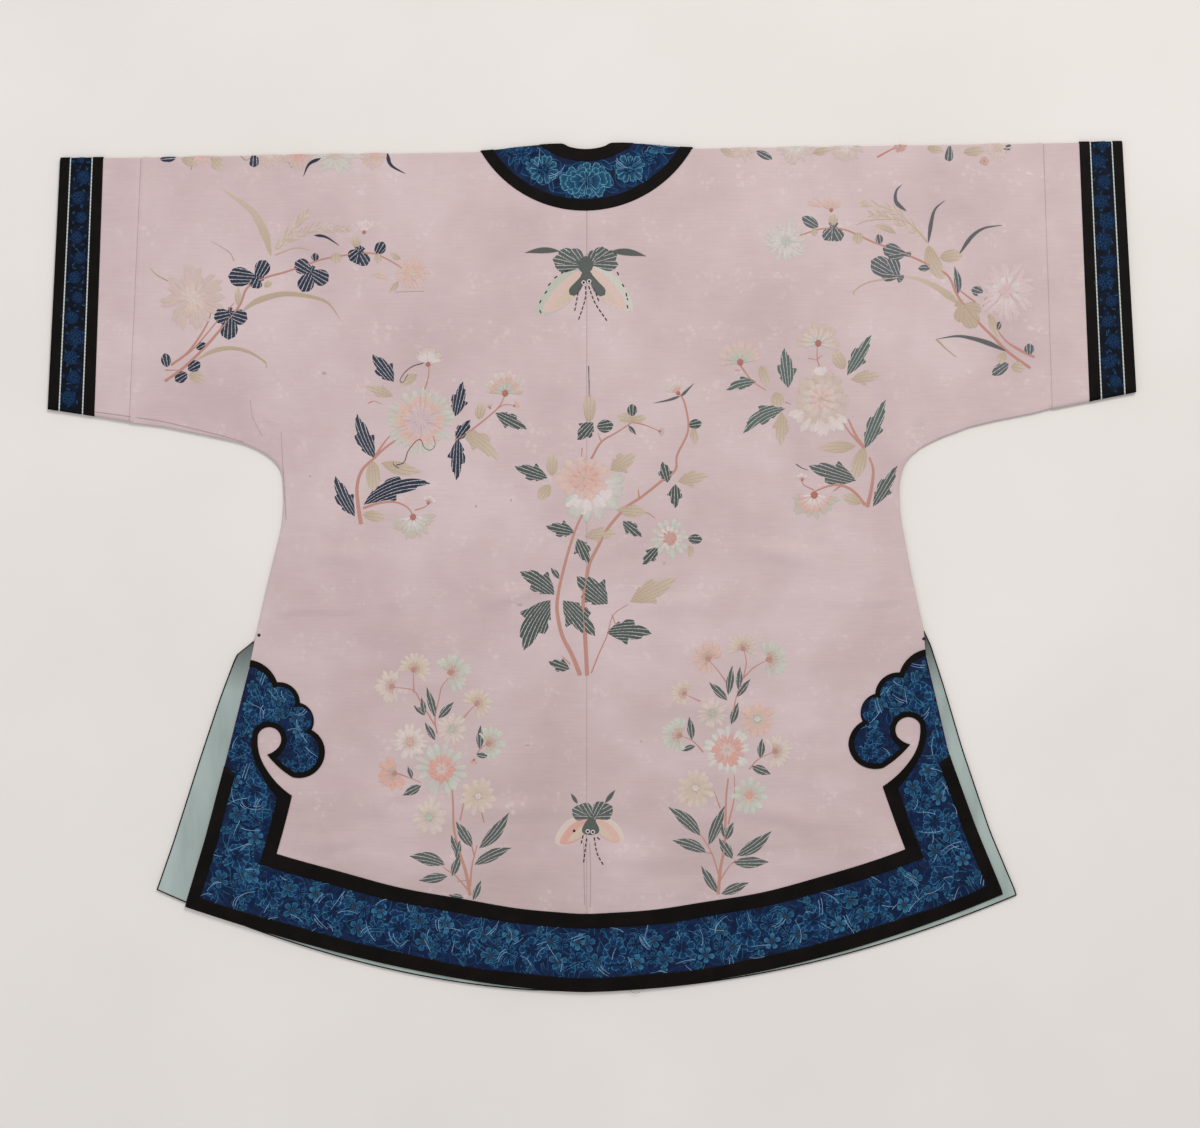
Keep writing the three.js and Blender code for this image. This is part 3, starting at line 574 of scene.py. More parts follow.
# Black satin of the cuffs, neck and borders: warp-faced, close and smooth, a little brown with age.
# Its true threads are 0.15 mm apart and are drawn at 1.2 mm.
SATIN_STEP = 1.2
satin_finish = new_material("satin_black", "120E0C", 0.55, Specular_IOR_Level=0.08)
satin_place = add_node(satin_finish, "ShaderNodeTexCoord").outputs["Object"]
satin_noise = add_node(
    satin_finish, "ShaderNodeTexNoise",
    inputs={"Vector": satin_place, "Scale": 38.0, "Detail": 5.0, "Roughness": 0.65}
)
satin_ramp = add_node(satin_finish, "ShaderNodeValToRGB", inputs={"Fac": satin_noise.outputs["Fac"]})
satin_ramp.color_ramp.elements[0].position = 0.35
satin_ramp.color_ramp.elements[0].color = linear("070504")
satin_ramp.color_ramp.elements[1].position = 0.72
satin_ramp.color_ramp.elements[1].color = linear("120D0B")
satin_finish.node_tree.links.new(satin_ramp.outputs["Color"], shader_of(satin_finish).inputs["Base Color"])
satin_wave = add_node(
    satin_finish, "ShaderNodeTexWave", {"wave_type": "BANDS", "bands_direction": "DIAGONAL"},
    {"Vector": satin_place, "Scale": 0.314 / (SATIN_STEP * MM), "Distortion": 1.0, "Detail": 2.0},
)
add_node(
    satin_finish, "ShaderNodeBump",
    inputs={"Strength": 0.25, "Distance": 0.0002, "Height": satin_wave.outputs["Fac"]},
    outputs={"Normal": shader_of(satin_finish).inputs["Normal"]},
)

# Woven ribbon: a deep blue ground of fine ribbed silk, on which the flowers are worked.
RIBBON_HEX = {"deep": "0D1830", "bright": "13264E"}
ribbon_finish = new_material("ribbon_blue_silk", RIBBON_HEX["deep"], 0.55, Specular_IOR_Level=0.1)
ribbon_place = add_node(ribbon_finish, "ShaderNodeTexCoord").outputs["Object"]
ribbon_noise = add_node(
    ribbon_finish, "ShaderNodeTexNoise", inputs={"Vector": ribbon_place, "Scale": 85.0, "Detail": 4.0}
)
ribbon_ramp = add_node(ribbon_finish, "ShaderNodeValToRGB", inputs={"Fac": ribbon_noise.outputs["Fac"]})
ribbon_ramp.color_ramp.elements[0].position = 0.4
ribbon_ramp.color_ramp.elements[0].color = linear(RIBBON_HEX["deep"])
ribbon_ramp.color_ramp.elements[1].position = 0.65
ribbon_ramp.color_ramp.elements[1].color = linear(RIBBON_HEX["bright"])
ribbon_finish.node_tree.links.new(ribbon_ramp.outputs["Color"], shader_of(ribbon_finish).inputs["Base Color"])

# The cuffs' ribbon has a nearly black ground.
cuff_finish = new_material("ribbon_cuff_silk", "0F141F", 0.55, Specular_IOR_Level=0.08)
cuff_place = add_node(cuff_finish, "ShaderNodeTexCoord").outputs["Object"]
cuff_noise = add_node(
    cuff_finish, "ShaderNodeTexNoise", inputs={"Vector": cuff_place, "Scale": 120.0, "Detail": 4.0}
)
cuff_ramp = add_node(cuff_finish, "ShaderNodeValToRGB", inputs={"Fac": cuff_noise.outputs["Fac"]})
cuff_ramp.color_ramp.elements[0].position = 0.45
cuff_ramp.color_ramp.elements[0].color = linear("090D15")
cuff_ramp.color_ramp.elements[1].position = 0.75
cuff_ramp.color_ramp.elements[1].color = linear("0F1D33")
cuff_finish.node_tree.links.new(cuff_ramp.outputs["Color"], shader_of(cuff_finish).inputs["Base Color"])

# Corded piping in off-white silk, twisted
piping_finish = new_material("piping_silk_cord", "C9CFCB", 0.5, Sheen_Weight=0.2)
piping_place = add_node(piping_finish, "ShaderNodeTexCoord").outputs["Object"]
piping_twist = add_node(
    piping_finish, "ShaderNodeTexWave", {"wave_type": "BANDS", "bands_direction": "DIAGONAL"},
    {"Vector": piping_place, "Scale": 140.0, "Distortion": 0.5},
)
piping_ramp = add_node(piping_finish, "ShaderNodeValToRGB", inputs={"Fac": piping_twist.outputs["Fac"]})
piping_ramp.color_ramp.elements[0].color = linear("A9B2AE")
piping_ramp.color_ramp.elements[1].color = linear("DDE1DC")
piping_finish.node_tree.links.new(piping_ramp.outputs["Color"], shader_of(piping_finish).inputs["Base Color"])

# Cuffs: five bands sewn over the sleeve's end, from the mouth inwards, folded over with the sleeve.
# The two narrow ones are cord, round on top, and the satin ones are turned under at their edges.
CUFF_BANDS = (
    {"name": "outer_black", "from": 0, "to": 12.8, "finish": satin_finish, "slot": "black_satin",
     "height": 0.9},
    {"name": "outer_piping", "from": 12.5, "to": 14.1, "finish": piping_finish, "slot": "piping",
     "height": 1.35},
    {"name": "ribbon", "from": 13.6, "to": 40.2, "finish": cuff_finish, "slot": "ribbon", "height": 0.6},
    {"name": "inner_piping", "from": 39.5, "to": 41.1, "finish": piping_finish, "slot": "piping",
     "height": 1.35},
    {"name": "inner_black", "from": 40.8, "to": 54, "finish": satin_finish, "slot": "black_satin",
     "height": 0.9},
)
CUFF_FLARE = (0.96, 1.04)


def rounded(share, width, radius=1.0):
    """Height share of a band's top over its width: 1 in the middle, falling to 0.35 at the edge."""
    from_edge = np.minimum(share, 1 - share) * width
    return 0.35 + 0.65 * np.sqrt(1 - (1 - np.clip(from_edge / radius, 0, 1)) ** 2)


def band_shares(width, between=5):
    """Places across a band: close together at its edges, even between."""
    edge = np.array([0, 0.12, 0.35, 0.75, 1.2]) / width
    return np.concatenate([edge, np.linspace(edge[-1], 1 - edge[-1], between + 2)[1:-1], 1 - edge[::-1]])


for side in SIDES:
    for band in CUFF_BANDS:
        width = band["to"] - band["from"]
        shares = np.linspace(0, 1, 9) if width < 3 else band_shares(width)
        top = TRIM_W[0] + band["height"] * rounded(shares, width, min(1.0, width / 2))

        def band_d(size):
            flare = mix(CUFF_FLARE[0], CUFF_FLARE[1], size)
            return mouth_d(side, size) - flare * mix(band["to"], band["from"], shares[None, :])

        outer, _, _ = sleeve_grid(side, band_d, top[None, :])
        inner, _, _ = sleeve_grid(side, band_d, TRIM_W[0])
        name = "cuff_" + side["name"] + "_" + band["name"]
        add_piece(name + "_band", *closed_wall(outer, inner), band["finish"], band["slot"], [name])

# Neck: a satin binding, a curved ribbon and a satin border round the neckline, cut open at the centre front.
# They are rings round the neck's middle, lying over the shoulder fold, which their thickness lifts.
NECK_BANDS = (
    {"name": "neck_binding", "from": 73, "to": 88, "finish": satin_finish, "slot": "black_satin",
     "height": 1.3},
    {"name": "neck_ribbon", "from": 86.5, "to": 135, "finish": ribbon_finish, "slot": "ribbon",
     "height": 0.8},
    {"name": "neck_border", "from": 133.3, "to": 147, "finish": satin_finish, "slot": "black_satin",
     "height": 1.3},
)


def on_cloth(across, t, w):
    """A point of the whole cut, left or right by the sign of across, at distance w from the middle plane."""
    left = fold_over(LEFT, -across, t, w)
    right = fold_over(RIGHT, across, t, w)
    return np.where((across < 0)[..., None], left, right)


quarter = np.radians(
    np.concatenate([np.arange(0, 10, 1.2), np.arange(10, 66, 0.35), np.arange(66, 179, 1.3)])
)
NECK_TURN = np.concatenate([-quarter[:0:-1], quarter]) / quarter[-1]
for band in NECK_BANDS:
    width = band["to"] - band["from"]
    shares = band_shares(width, int(width / 1.2))
    radius = mix(band["from"], band["to"], shares)[None, :]
    gap = 0.3 / radius
    angle = NECK_TURN[:, None] * (np.pi - gap)
    across = radius * np.sin(angle)
    down = NECK_CENTRE_T + radius * np.cos(angle)
    top = TRIM_W[0] + band["height"] * rounded(shares, width)[None, :]
    walls = closed_wall(
        on_cloth(across, down, top + 0 * across), on_cloth(across, down, TRIM_W[0] + 0 * across)
    )
    add_piece(band["name"] + "_band", *walls, band["finish"], band["slot"], [band["name"]])

# Borders of the slits and hem: lines that run inside the edge at a share of the border's width.
# A hand-sewn edge is never quite true, so each line wavers by a fraction of a millimetre.
BORDER = {"slit": 88, "hem": 94, "outer": 0.18, "ribbon": 0.81, "gap": 0.0036}
OUTER_STRIP_TOP = 733
FRONT_BAND_TOP = 600
WAVER = 0.45
LINE_STEPS = (40, 90)
EDGE_RUN = 20  # length along the edge over which its slope is taken


def hem_t(side, inset, d, back=True):
    """Depth of the line that runs inset inside the hem, measured square to the hem."""
    drop = hem_drop(side, d, back)
    power = side["back" if back else "front"][2]
    return LENGTH - drop - inset * np.hypot(1, drop * power / np.maximum(d, 1))


def slit_d(side, inset, t, back=True):
    """Distance from the seam of the line that runs inset inside the slit edge, measured square to it."""
    slope = (edge_d(side, t + EDGE_RUN, back) - edge_d(side, t - EDGE_RUN, back)) / (2 * EDGE_RUN)
    return edge_d(side, t, back) - inset * np.hypot(1, slope)


def border_line(side, share, top_t, stop_d=0.0, back=True, insets=None):
    """Points (d, t) down the slit from top_t to the corner, then along the hem to stop_d."""
    slit_inset, hem_inset = insets or (share * BORDER["slit"], share * BORDER["hem"])
    corner_d = float(side["back" if back else "front"][1])
    for _ in range(40):
        corner_t = hem_t(side, hem_inset, corner_d, back)
        corner_d = slit_d(side, slit_inset, corner_t, back)
    t = mix(top_t, corner_t, np.linspace(0, 1, LINE_STEPS[0]))
    d = mix(corner_d, stop_d, np.linspace(0, 1, LINE_STEPS[1]))
    down = np.stack([slit_d(side, slit_inset, t, back), t], 1)
    along = np.stack([d, hem_t(side, hem_inset, d, back)], 1)
    points = np.concatenate([down[:-1], along])
    waver = WAVER * (np.sin(points.sum(1) / 17 + 9 * share) + np.sin(points[:, 0] / 41 + 5 * share))
    steady = smoothstep(np.abs(points[:, 0] - stop_d), 0, 30)
    return points - (waver * steady * (share > 0))[:, None]


# Cloud head at the top of each slit border, as arcs from the slit edge round to the straight strip.
# bow is the arc's rise towards the next point, positive where the blue swells; strip is the black edging.
HEAD_COLUMNS = ("d", "t", "bow", "strip")
HEAD = (
    (402, 606, 5.6, 7), (371.5, 633.2, 8, 7), (343.9, 658.4, 8.5, 7), (329.9, 691.2, 4.3, 7),
    (314, 718, 4.1, 7), (329.4, 744.7, 2.3, 7), (352.8, 747.7, 2, 7), (383.4, 719.8, -1.2, 7),
    (370, 711.5, -6.3, 7), (376, 688, -4.1, 7), (394.3, 696, -3.7, 7), (385, 736.3, -2.5, 8),
    (354.6, 769.7, 0, 14),
)
HEAD_PIVOT_D = 314
ARC_STEPS = 12
SHARP_REACH = 1.7  # a mitred corner of the edging reaches no further than this many widths


def arc_points(start, stop, bow):
    """Points from start towards stop along a circle's arc that rises by bow to the left of the way."""
    way = stop - start
    chord = np.hypot(*way)
    size = max(abs(bow), 0.01)
    radius = (chord ** 2 / 4 + size ** 2) / (2 * size)
    half = np.arcsin(min(1, chord / 2 / radius))
    angle = mix(-half, half, np.arange(ARC_STEPS) / ARC_STEPS)
    rise = np.sign(bow) * radius * (np.cos(angle) - np.cos(half))
    left = np.array([-way[1], way[0]]) / chord
    return start + np.outer(0.5 + radius * np.sin(angle) / chord, way) + np.outer(rise, left)


def arc_heading(start, stop, bow, at_end):
    """Direction of travel at one end of an arc."""
    way = (stop - start) / np.hypot(*(stop - start))
    turn = 2 * np.arctan2(2 * bow, np.hypot(*(stop - start))) * (1 if at_end else -1)
    cos, sin = np.cos(turn), np.sin(turn)
    return np.array([way[0] * cos + way[1] * sin, way[1] * cos - way[0] * sin])


def head_line(side, gap=None, edge=0.0, share=1.0):
    """The cloud head's line: its pink edge, or with a gap the line inside the black edging by that gap."""
    table = dict(zip(HEAD_COLUMNS, np.array(HEAD).T))
    points = np.stack([HEAD_PIVOT_D + (table["d"] - HEAD_PIVOT_D) * side["head_stretch"], table["t"]], 1)
    points[0, 0] = slit_d(side, 0, points[0, 1])
    points[-1, 0] = slit_d(side, BORDER["slit"], points[-1, 1])
    bows = table["bow"]
    if gap is not None:
        moved = points.copy()
        inset = table["strip"] + gap
        for k in range(1, len(points) - 1):
            arriving = arc_heading(points[k - 1], points[k], bows[k - 1], True)
            leaving = arc_heading(points[k], points[k + 1], bows[k], False)
            total = arriving + leaving
            inwards = np.array([total[1], -total[0]]) / np.hypot(*total)
            moved[k] += inwards * min(2 * inset[k] / np.hypot(*total), SHARP_REACH * inset[k])
        moved[0, 1] += 1.2 * table["strip"][0] + gap
        moved[0, 0] = slit_d(side, edge, moved[0, 1])
        moved[-1, 1] += 2
        moved[-1, 0] = slit_d(side, share * BORDER["slit"], moved[-1, 1])
        chords = np.hypot(*np.diff(points, axis=0).T)
        new_chords = np.hypot(*np.diff(moved, axis=0).T)
        sign = np.sign(bows[:-1])
        size = np.maximum(np.abs(bows[:-1]), 0.01)
        radii = (chords ** 2 / 4 + size ** 2) / (2 * size) - sign * inset[:-1]
        bows = sign * (radii - np.sqrt(np.maximum(0, radii ** 2 - new_chords ** 2 / 4)))
        points = moved
    arcs = [arc_points(points[k], points[k + 1], bows[k]) for k in range(len(points) - 1)]
    return np.concatenate(arcs + [points[-1:]])


def laid_flat(side, points, z):
    """Ground-plan points of a line given by d and t, at height z: the same for the front, under the back."""
    x, y = plan(side, points[:, 0], SHOULDER_Y - points[:, 1])
    return np.stack([x, y, z + 0 * x], axis=1)


def across_both(line_of):
    """A line from the left slit to the centre, then out to the right slit, on the ground plan."""
    left, right = (laid_flat(side, line_of(side), 0) for side in SIDES)
    return np.concatenate([left, right[::-1][1:]])


def strip_walls(outer_line, inner_line, low, high):
    """A band between two lines of as many points, turned under at both edges."""
    width = float(np.median(np.hypot(*(outer_line - inner_line)[:, :2].T)))
    shares = band_shares(width)
    top = mix(outer_line[:, None, :], inner_line[:, None, :], shares[None, :, None])
    bottom = top.copy()
    top[..., 2] = low + (high - low) * rounded(shares, width)[None, :]
    bottom[..., 2] = low
    return closed_wall(top, bottom)


def plate_walls(outline, low, high):
    """A flat plate from an outline of ground-plan points."""
    count = len(outline)
    top = np.column_stack([outline[:, :2], np.full(count, high)])
    bottom = np.column_stack([outline[:, :2], np.full(count, low)])
    ring = list(range(count))
    x, y = outline[:, 0], outline[:, 1]
    if np.sum(x * np.roll(y, -1) - y * np.roll(x, -1)) < 0:
        ring.reverse()
    sides = [(ring[k], ring[k - 1], ring[k - 1] + count, ring[k] + count) for k in range(count)]
    faces = [tuple(ring), tuple(k + count for k in reversed(ring))] + [
        tuple(reversed(quad)) for quad in sides
    ]
    return np.concatenate([top, bottom]), faces


# Back borders: a black strip along the hem and the lower slits, the broad ribbon, and a black edging
# that follows the cloud heads. They are sewn flat on the back, edge to edge.
BACK_TRIM_LOW = MIDDLE_Z + TRIM_W[0]
SATIN_HIGH = MIDDLE_Z + 3.5
RIBBON_HIGH = MIDDLE_Z + 2.9
STRIP_SLANT = 10  # the outer strip's top is cut aslant, this much lower on its inner side
UNDER_SATIN = 0.3  # the ribbon goes in under the satin edging by this share of its width
outer_lines = [
    across_both(lambda side: border_line(side, share, OUTER_STRIP_TOP + slant))
    for share, slant in ((0, 0), (BORDER["outer"], STRIP_SLANT))
]
add_piece(
    "back_border_outer_band", *strip_walls(*outer_lines, BACK_TRIM_LOW, SATIN_HIGH), satin_finish,
    "black_satin", ["back_border_outer"],
)


def pink_side(side):
    head = head_line(side)
    return np.concatenate([head, border_line(side, 1, head[-1, 1])[1:]])


def blue_side(side):
    head = head_line(side, gap=0, edge=0.5, share=BORDER["ribbon"])
    return np.concatenate([head, border_line(side, BORDER["ribbon"], head[-1, 1])[1:]])


add_piece(
    "back_border_inner_band",
    *strip_walls(across_both(pink_side), across_both(blue_side), BACK_TRIM_LOW, SATIN_HIGH),
    satin_finish, "black_satin", ["back_border_inner"],
)


def ribbon_inner(side):
    return mix(blue_side(side), pink_side(side), UNDER_SATIN)


def ribbon_outer(side):
    edge_t = np.linspace(ribbon_inner(side)[0, 1] + 0.5, OUTER_STRIP_TOP + 2, 12)
    edge = np.stack([slit_d(side, 0.5, edge_t), edge_t], 1)
    return np.concatenate([edge, border_line(side, BORDER["outer"] * (1 - UNDER_SATIN), OUTER_STRIP_TOP + 8)])


ribbon_outline = np.concatenate([across_both(ribbon_outer), across_both(ribbon_inner)[::-1]])
add_piece(
    "back_border_ribbon_band", *plate_walls(ribbon_outline, BACK_TRIM_LOW, RIBBON_HIGH), ribbon_finish,
    "ribbon", ["back_border_ribbon"], smooth=False,
)

# Front borders: the same three bands on the hidden front, plain, with their right sides to the floor.
FRONT_STRIPS = (
    {"name": "outer", "from": 0, "to": BORDER["outer"], "finish": satin_finish, "slot": "black_satin"},
    {"name": "ribbon", "from": BORDER["outer"] + BORDER["gap"], "to": BORDER["ribbon"],
     "finish": ribbon_finish,
     "slot": "ribbon"},
    {"name": "inner", "from": BORDER["ribbon"] + BORDER["gap"], "to": 1, "finish": satin_finish,
     "slot": "black_satin"},
)
for side in SIDES:
    for strip in FRONT_STRIPS:
        lines = [
            laid_flat(side, border_line(side, share, FRONT_BAND_TOP, stop_d=0.15, back=False), 0)
            for share in (strip["from"], strip["to"])
        ]
        name = "front_border_" + strip["name"] + "_" + side["name"]
        walls = strip_walls(*lines, MIDDLE_Z - TRIM_W[0], MIDDLE_Z - 3.3)
        add_piece(name + "_band", *walls, strip["finish"], strip["slot"], [name])

# Lining: pale grey-green silk, shown only where the front flares out past the back's slits and hem.
# It is painted darker where it goes in under the slit, a painted shade, and its colour is streaked with
# painted shade along its creases. It has a thin black binding along its outer edge.
LINING = {"inset": 1.2, "width": 60, "top": 584, "hem_stop": 60, "half": 0.5}
BINDING = {"inset": -0.1, "width": 1.7, "half": 0.9}
lining_finish = new_material("lining_silk", "9FAFAC", 0.6, Sheen_Weight=0.2, Sheen_Roughness=0.4)
lining_place = add_node(lining_finish, "ShaderNodeTexCoord").outputs["Object"]
lining_stretch = add_node(
    lining_finish, "ShaderNodeMapping", inputs={"Vector": lining_place, "Scale": (34.0, 7.0, 1.0)}
)
lining_noise = add_node(
    lining_finish, "ShaderNodeTexNoise",
    inputs={"Vector": lining_stretch.outputs[0], "Scale": 1.0, "Detail": 5.0}
)
# Painted shade of the creases: the noise that gives the bump its low creases also darkens the colour there.
lining_crease_shade = add_node(lining_finish, "ShaderNodeValToRGB", inputs={"Fac": lining_noise.outputs["Fac"]})
lining_crease_shade.color_ramp.elements[0].position = 0.3
lining_crease_shade.color_ramp.elements[0].color = linear("919F9C")
lining_crease_shade.color_ramp.elements[1].position = 0.66
lining_crease_shade.color_ramp.elements[1].color = linear("A9B8B5")
lining_axes = add_node(lining_finish, "ShaderNodeSeparateXYZ", inputs={"Vector": lining_place})
# Painted shade: darker towards the top of the slit, where the lining goes in under the back.
slit_shade = add_node(
    lining_finish, "ShaderNodeMapRange",
    inputs={"Value": lining_axes.outputs["Y"], "From Min": -0.150, "From Max": -0.088, "To Max": 0.95},
)
add_node(
    lining_finish, "ShaderNodeMix", {"data_type": "RGBA"},
    {"Factor": slit_shade.outputs[0], 6: lining_crease_shade.outputs["Color"], 7: linear("3A403B")},
    {2: shader_of(lining_finish).inputs["Base Color"]},
)
add_node(
    lining_finish, "ShaderNodeBump",
    inputs={"Strength": 0.5, "Distance": 0.0008, "Height": lining_noise.outputs["Fac"]},
    outputs={"Normal": shader_of(lining_finish).inputs["Normal"]},
)


def front_strip(side, inset, width, half):
    """A strip of the front's inner side, from inset to inset + width, its middle in the middle plane."""
    lines = []
    for place in (inset, inset + width):
        points = border_line(side, 0, LINING["top"], LINING["hem_stop"], False, (place, place))
        lines.append(laid_flat(side, points, 0))
    return strip_walls(*lines, MIDDLE_Z - half, MIDDLE_Z + half)


for side in SIDES:
    name = "lining_front_" + side["name"]
    walls = front_strip(side, LINING["inset"], LINING["width"], LINING["half"])
    lining = add_piece(name + "_silk", *walls, lining_finish, "lining", [name])
    binding_walls = front_strip(side, BINDING["inset"], BINDING["width"], BINDING["half"])
    binding = add_piece(name + "_binding", *binding_walls, satin_finish, "black_satin")

# Embroidery: floss laid in satin stitch over the silk, every leaf and petal a slightly raised patch.
# The pieces are worked out on the cut and laid on the folded cloth. Motifs are placed by px and py in the
# photograph; their own sizes are millimetres, and headings are degrees clockwise from the shoulder.
PICTURE = {"centre_px": 586.5, "shoulder_py": 149.4, "mm_per_px": 1.2}
FLOSS = {
    "navy": "262C41", "ink": "1F1D28", "green": "4A524D", "sage": "575C58", "grey": "5E6164",
    "grey_green": "5C6761",
    "khaki": "BEAB96", "khaki_deep": "B3A18A", "khaki_pale": "CBBAAA", "coral": "BE8B7E",
    "coral_deep": "B07165",
    "peach": "DCAF9F", "peach_pale": "DCBFB3", "salmon": "DA9F8F", "mint": "BAC3B4", "mint_pale": "CCD0C4",
    "cream": "D9CABF", "white": "E2D8D6", "lilac": "CBB6C0", "yellow": "D2BFA5", "pink": "D7BABB",
    "thread_white": "D8D7D8", "teal": "22587A", "teal_pale": "3A7899", "blue": "0F254A", "blue_mid": "123762",
    "blue_deep": "0B1836", "frost": "86A6CC", "violet": "2F2A4D", "moss": "2E4841", "teal_bright": "68A2B0",
    "silk": "CDB8BA", "seam": "A68C8F", "stain": "A88E93",
}
FLOSS_RGB = {name: np.array(linear(value)[:3]) for name, value in FLOSS.items()}
VEIN_STEP = 5.2  # mm between the white lines of a leaf
FLOSS_BASE_W = SILK_W[1]
random = np.random.default_rng(7)


def cloth_place(px, py):
    """Place on the cut of a place in the photograph."""
    across = (px - PICTURE["centre_px"]) * PICTURE["mm_per_px"]
    return np.array([across, (py - PICTURE["shoulder_py"]) * PICTURE["mm_per_px"] + LEAN * across])


def towards(heading):
    """Unit step on the cut in a heading: 0 is up to the shoulder, 90 to the right."""
    return np.array([np.sin(np.radians(heading)), -np.cos(np.radians(heading))])


def smooth_line(points, steps=8):
    """A smooth line through the points, by cubic pieces whose slopes follow each point's neighbours."""
    points = np.asarray(points, float)
    ends = np.concatenate([[2 * points[0] - points[1]], points, [2 * points[-1] - points[-2]]])
    s = np.linspace(0, 1, steps, endpoint=False)[:, None]
    pieces = []
    for k in range(1, len(ends) - 2):
        before, start, stop, after = ends[k - 1:k + 3]
        slope, next_slope = (stop - before) / 2, (after - start) / 2
        pieces.append(
            (2 * s ** 3 - 3 * s ** 2 + 1) * start + (s ** 3 - 2 * s ** 2 + s) * slope
            + (3 * s ** 2 - 2 * s ** 3) * stop + (s ** 3 - s ** 2) * next_slope
        )
    return np.concatenate(pieces + [points[-1:]])


def new_work():
    """An empty batch of stitched patches, later joined into one mesh."""
    return {"flat": [], "lift": [], "dye": [], "thread": [], "veins": [], "faces": [], "count": 0}


THREAD_FAN = 0.5  # threads lie this much closer together at a patch's base than at its end


def stitch(work, line, half, base, tip=None, rim=None, veins=0.0, columns=5, lift=0.04, height=0.35, fade=1.0,
           edge_tone=1.0, worn=0.0):
    """A satin-stitched patch along a line of points on the cut, with half its width at each of them; half is
    one number, one for each point, or a column for each place across.

    Its height over the cloth is lift + height * (1 - v * v), where v runs from -1 to 1 across. The dye goes
    from base to tip along it as u ** fade, and to rim at the edge and the end; the edge factor darkens the
    sides as painted shade between neighbouring patches, and worn is the share of the silk's colour that
    shows through. The threads fan out from the base.
    """
    line = np.asarray(line, float)
    half = np.broadcast_to(np.reshape(half, (-1, 1)) if np.ndim(half) < 2 else half, (len(line), columns))
    along = np.gradient(line, axis=0)
    along = along / np.maximum(np.linalg.norm(along, axis=1), 1e-9)[:, None]
    sideways = np.stack([-along[:, 1], along[:, 0]], 1)
    v = np.linspace(-1, 1, columns)
    if rim is not None:
        v = np.concatenate([[-1, -0.86], np.linspace(-0.76, 0.76, columns - 2), [0.86, 1]])
        half = np.broadcast_to(half[:, :1], (len(line), len(v)))
    u = np.linspace(0, 1, len(line))[:, None]
    flat = line[:, None, :] + sideways[:, None, :] * (half * v)[:, :, None]
    fullness = np.sqrt(np.clip(half / max(half.max(), 1e-6), 0, 1))
    base_rgb = FLOSS_RGB[base]
    tip_rgb = FLOSS_RGB[tip or base]
    dye = mix(base_rgb, tip_rgb, (u ** fade)[:, :, None]) + 0 * flat[:, :, :1]
    if rim is not None:
        at_edge = np.maximum(smoothstep(np.abs(v), 0.76, 0.86)[None, :], smoothstep(u, 0.88, 0.97))
        dye = mix(dye, FLOSS_RGB[rim], at_edge[:, :, None])
    # Sides darkened by the edge factor: painted shade where neighbouring patches meet.
    dye = mix(dye * mix(1, edge_tone, np.abs(v) ** 3)[None, :, None], FLOSS_RGB["silk"], worn)
    rows, across = flat.shape[:2]
    number = work["count"] + np.arange(rows * across).reshape(rows, across)
    quads = (number[:-1, :-1], number[:-1, 1:], number[1:, 1:], number[1:, :-1])
    length = np.sum(np.linalg.norm(np.diff(line, axis=0), axis=1))
    thread = np.stack([u * length + 0 * v, v * half / (THREAD_FAN + (1 - THREAD_FAN) * u)], -1)
    work["flat"].append(flat.reshape(-1, 2))
    work["lift"].append((lift + height * (1 - v ** 2)[None, :] * fullness).ravel())
    work["dye"].append(dye.reshape(-1, 3))
    work["thread"].append(thread.reshape(-1, 2))
    work["veins"].append(np.full(rows * across, float(veins)))
    work["faces"].append(np.stack([q.ravel() for q in quads], 1))
    work["count"] += rows * across


# Shapes of patches: half width from 0 to 1 at u along the patch
SHAPES = {
    "lance": lambda u: np.sin(np.pi * u ** 0.85) ** 1.1,
    "oval": lambda u: np.sin(np.pi * u) ** 0.6,
    "petal": lambda u: np.clip(u, 0, 1) ** 0.6 * np.sqrt(np.clip(1 - u ** 5, 0, 1)) * 1.05,
    "thin": lambda u: np.clip(u * 5, 0, 1) ** 0.5 * np.sqrt(np.clip(1 - u ** 6, 0, 1)) * (0.65 + 0.35 * u),
    "blade": lambda u: np.clip(u * 4, 0, 1) ** 0.6 * np.clip((1 - u) * 1.25, 0, 1) ** 0.8,
    "jagged": lambda u: np.minimum(np.clip(u / 0.42, 0, 1) ** 0.95,
        np.clip((1 - u) / 0.58, 0, 1) ** 0.8) * 1.18,
    "lobe": lambda u: (0.22 + 0.78 * smoothstep(u, 0.1, 0.75)) * np.sqrt(np.clip(1 - u ** 5, 0, 1)),
    "stem": lambda u: 0 * u + 1,
}


def leaf(work, middle, length, width, heading, shape="lance", bend=0.0, rows=12, **dyes):
    """A leaf or petal about its middle, bent sideways by a share of its length."""
    u = np.linspace(0, 1, rows)
    ahead = towards(heading)
    aside = np.array([-ahead[1], ahead[0]])
    line = np.outer((u - 0.5) * length, ahead) + np.outer(bend * length * (0.25 - (u - 0.5) ** 2) * 4, aside)
    half = width / 2 * SHAPES[shape](u)
    if shape == "jagged":
        side_shift = np.where(np.arange(dyes.get("columns", 5)) < dyes.get("columns", 5) / 2, 0.1, 0.52)
        tooth = (u[:, None] * 3.1 + side_shift) % 1
        half = half[:, None] * (1 - smoothstep(u, 0.15, 0.4)[:, None] * 0.42 * (1 - tooth) ** 1.2)
    stitch(work, np.asarray(middle) + line, half, **dyes)


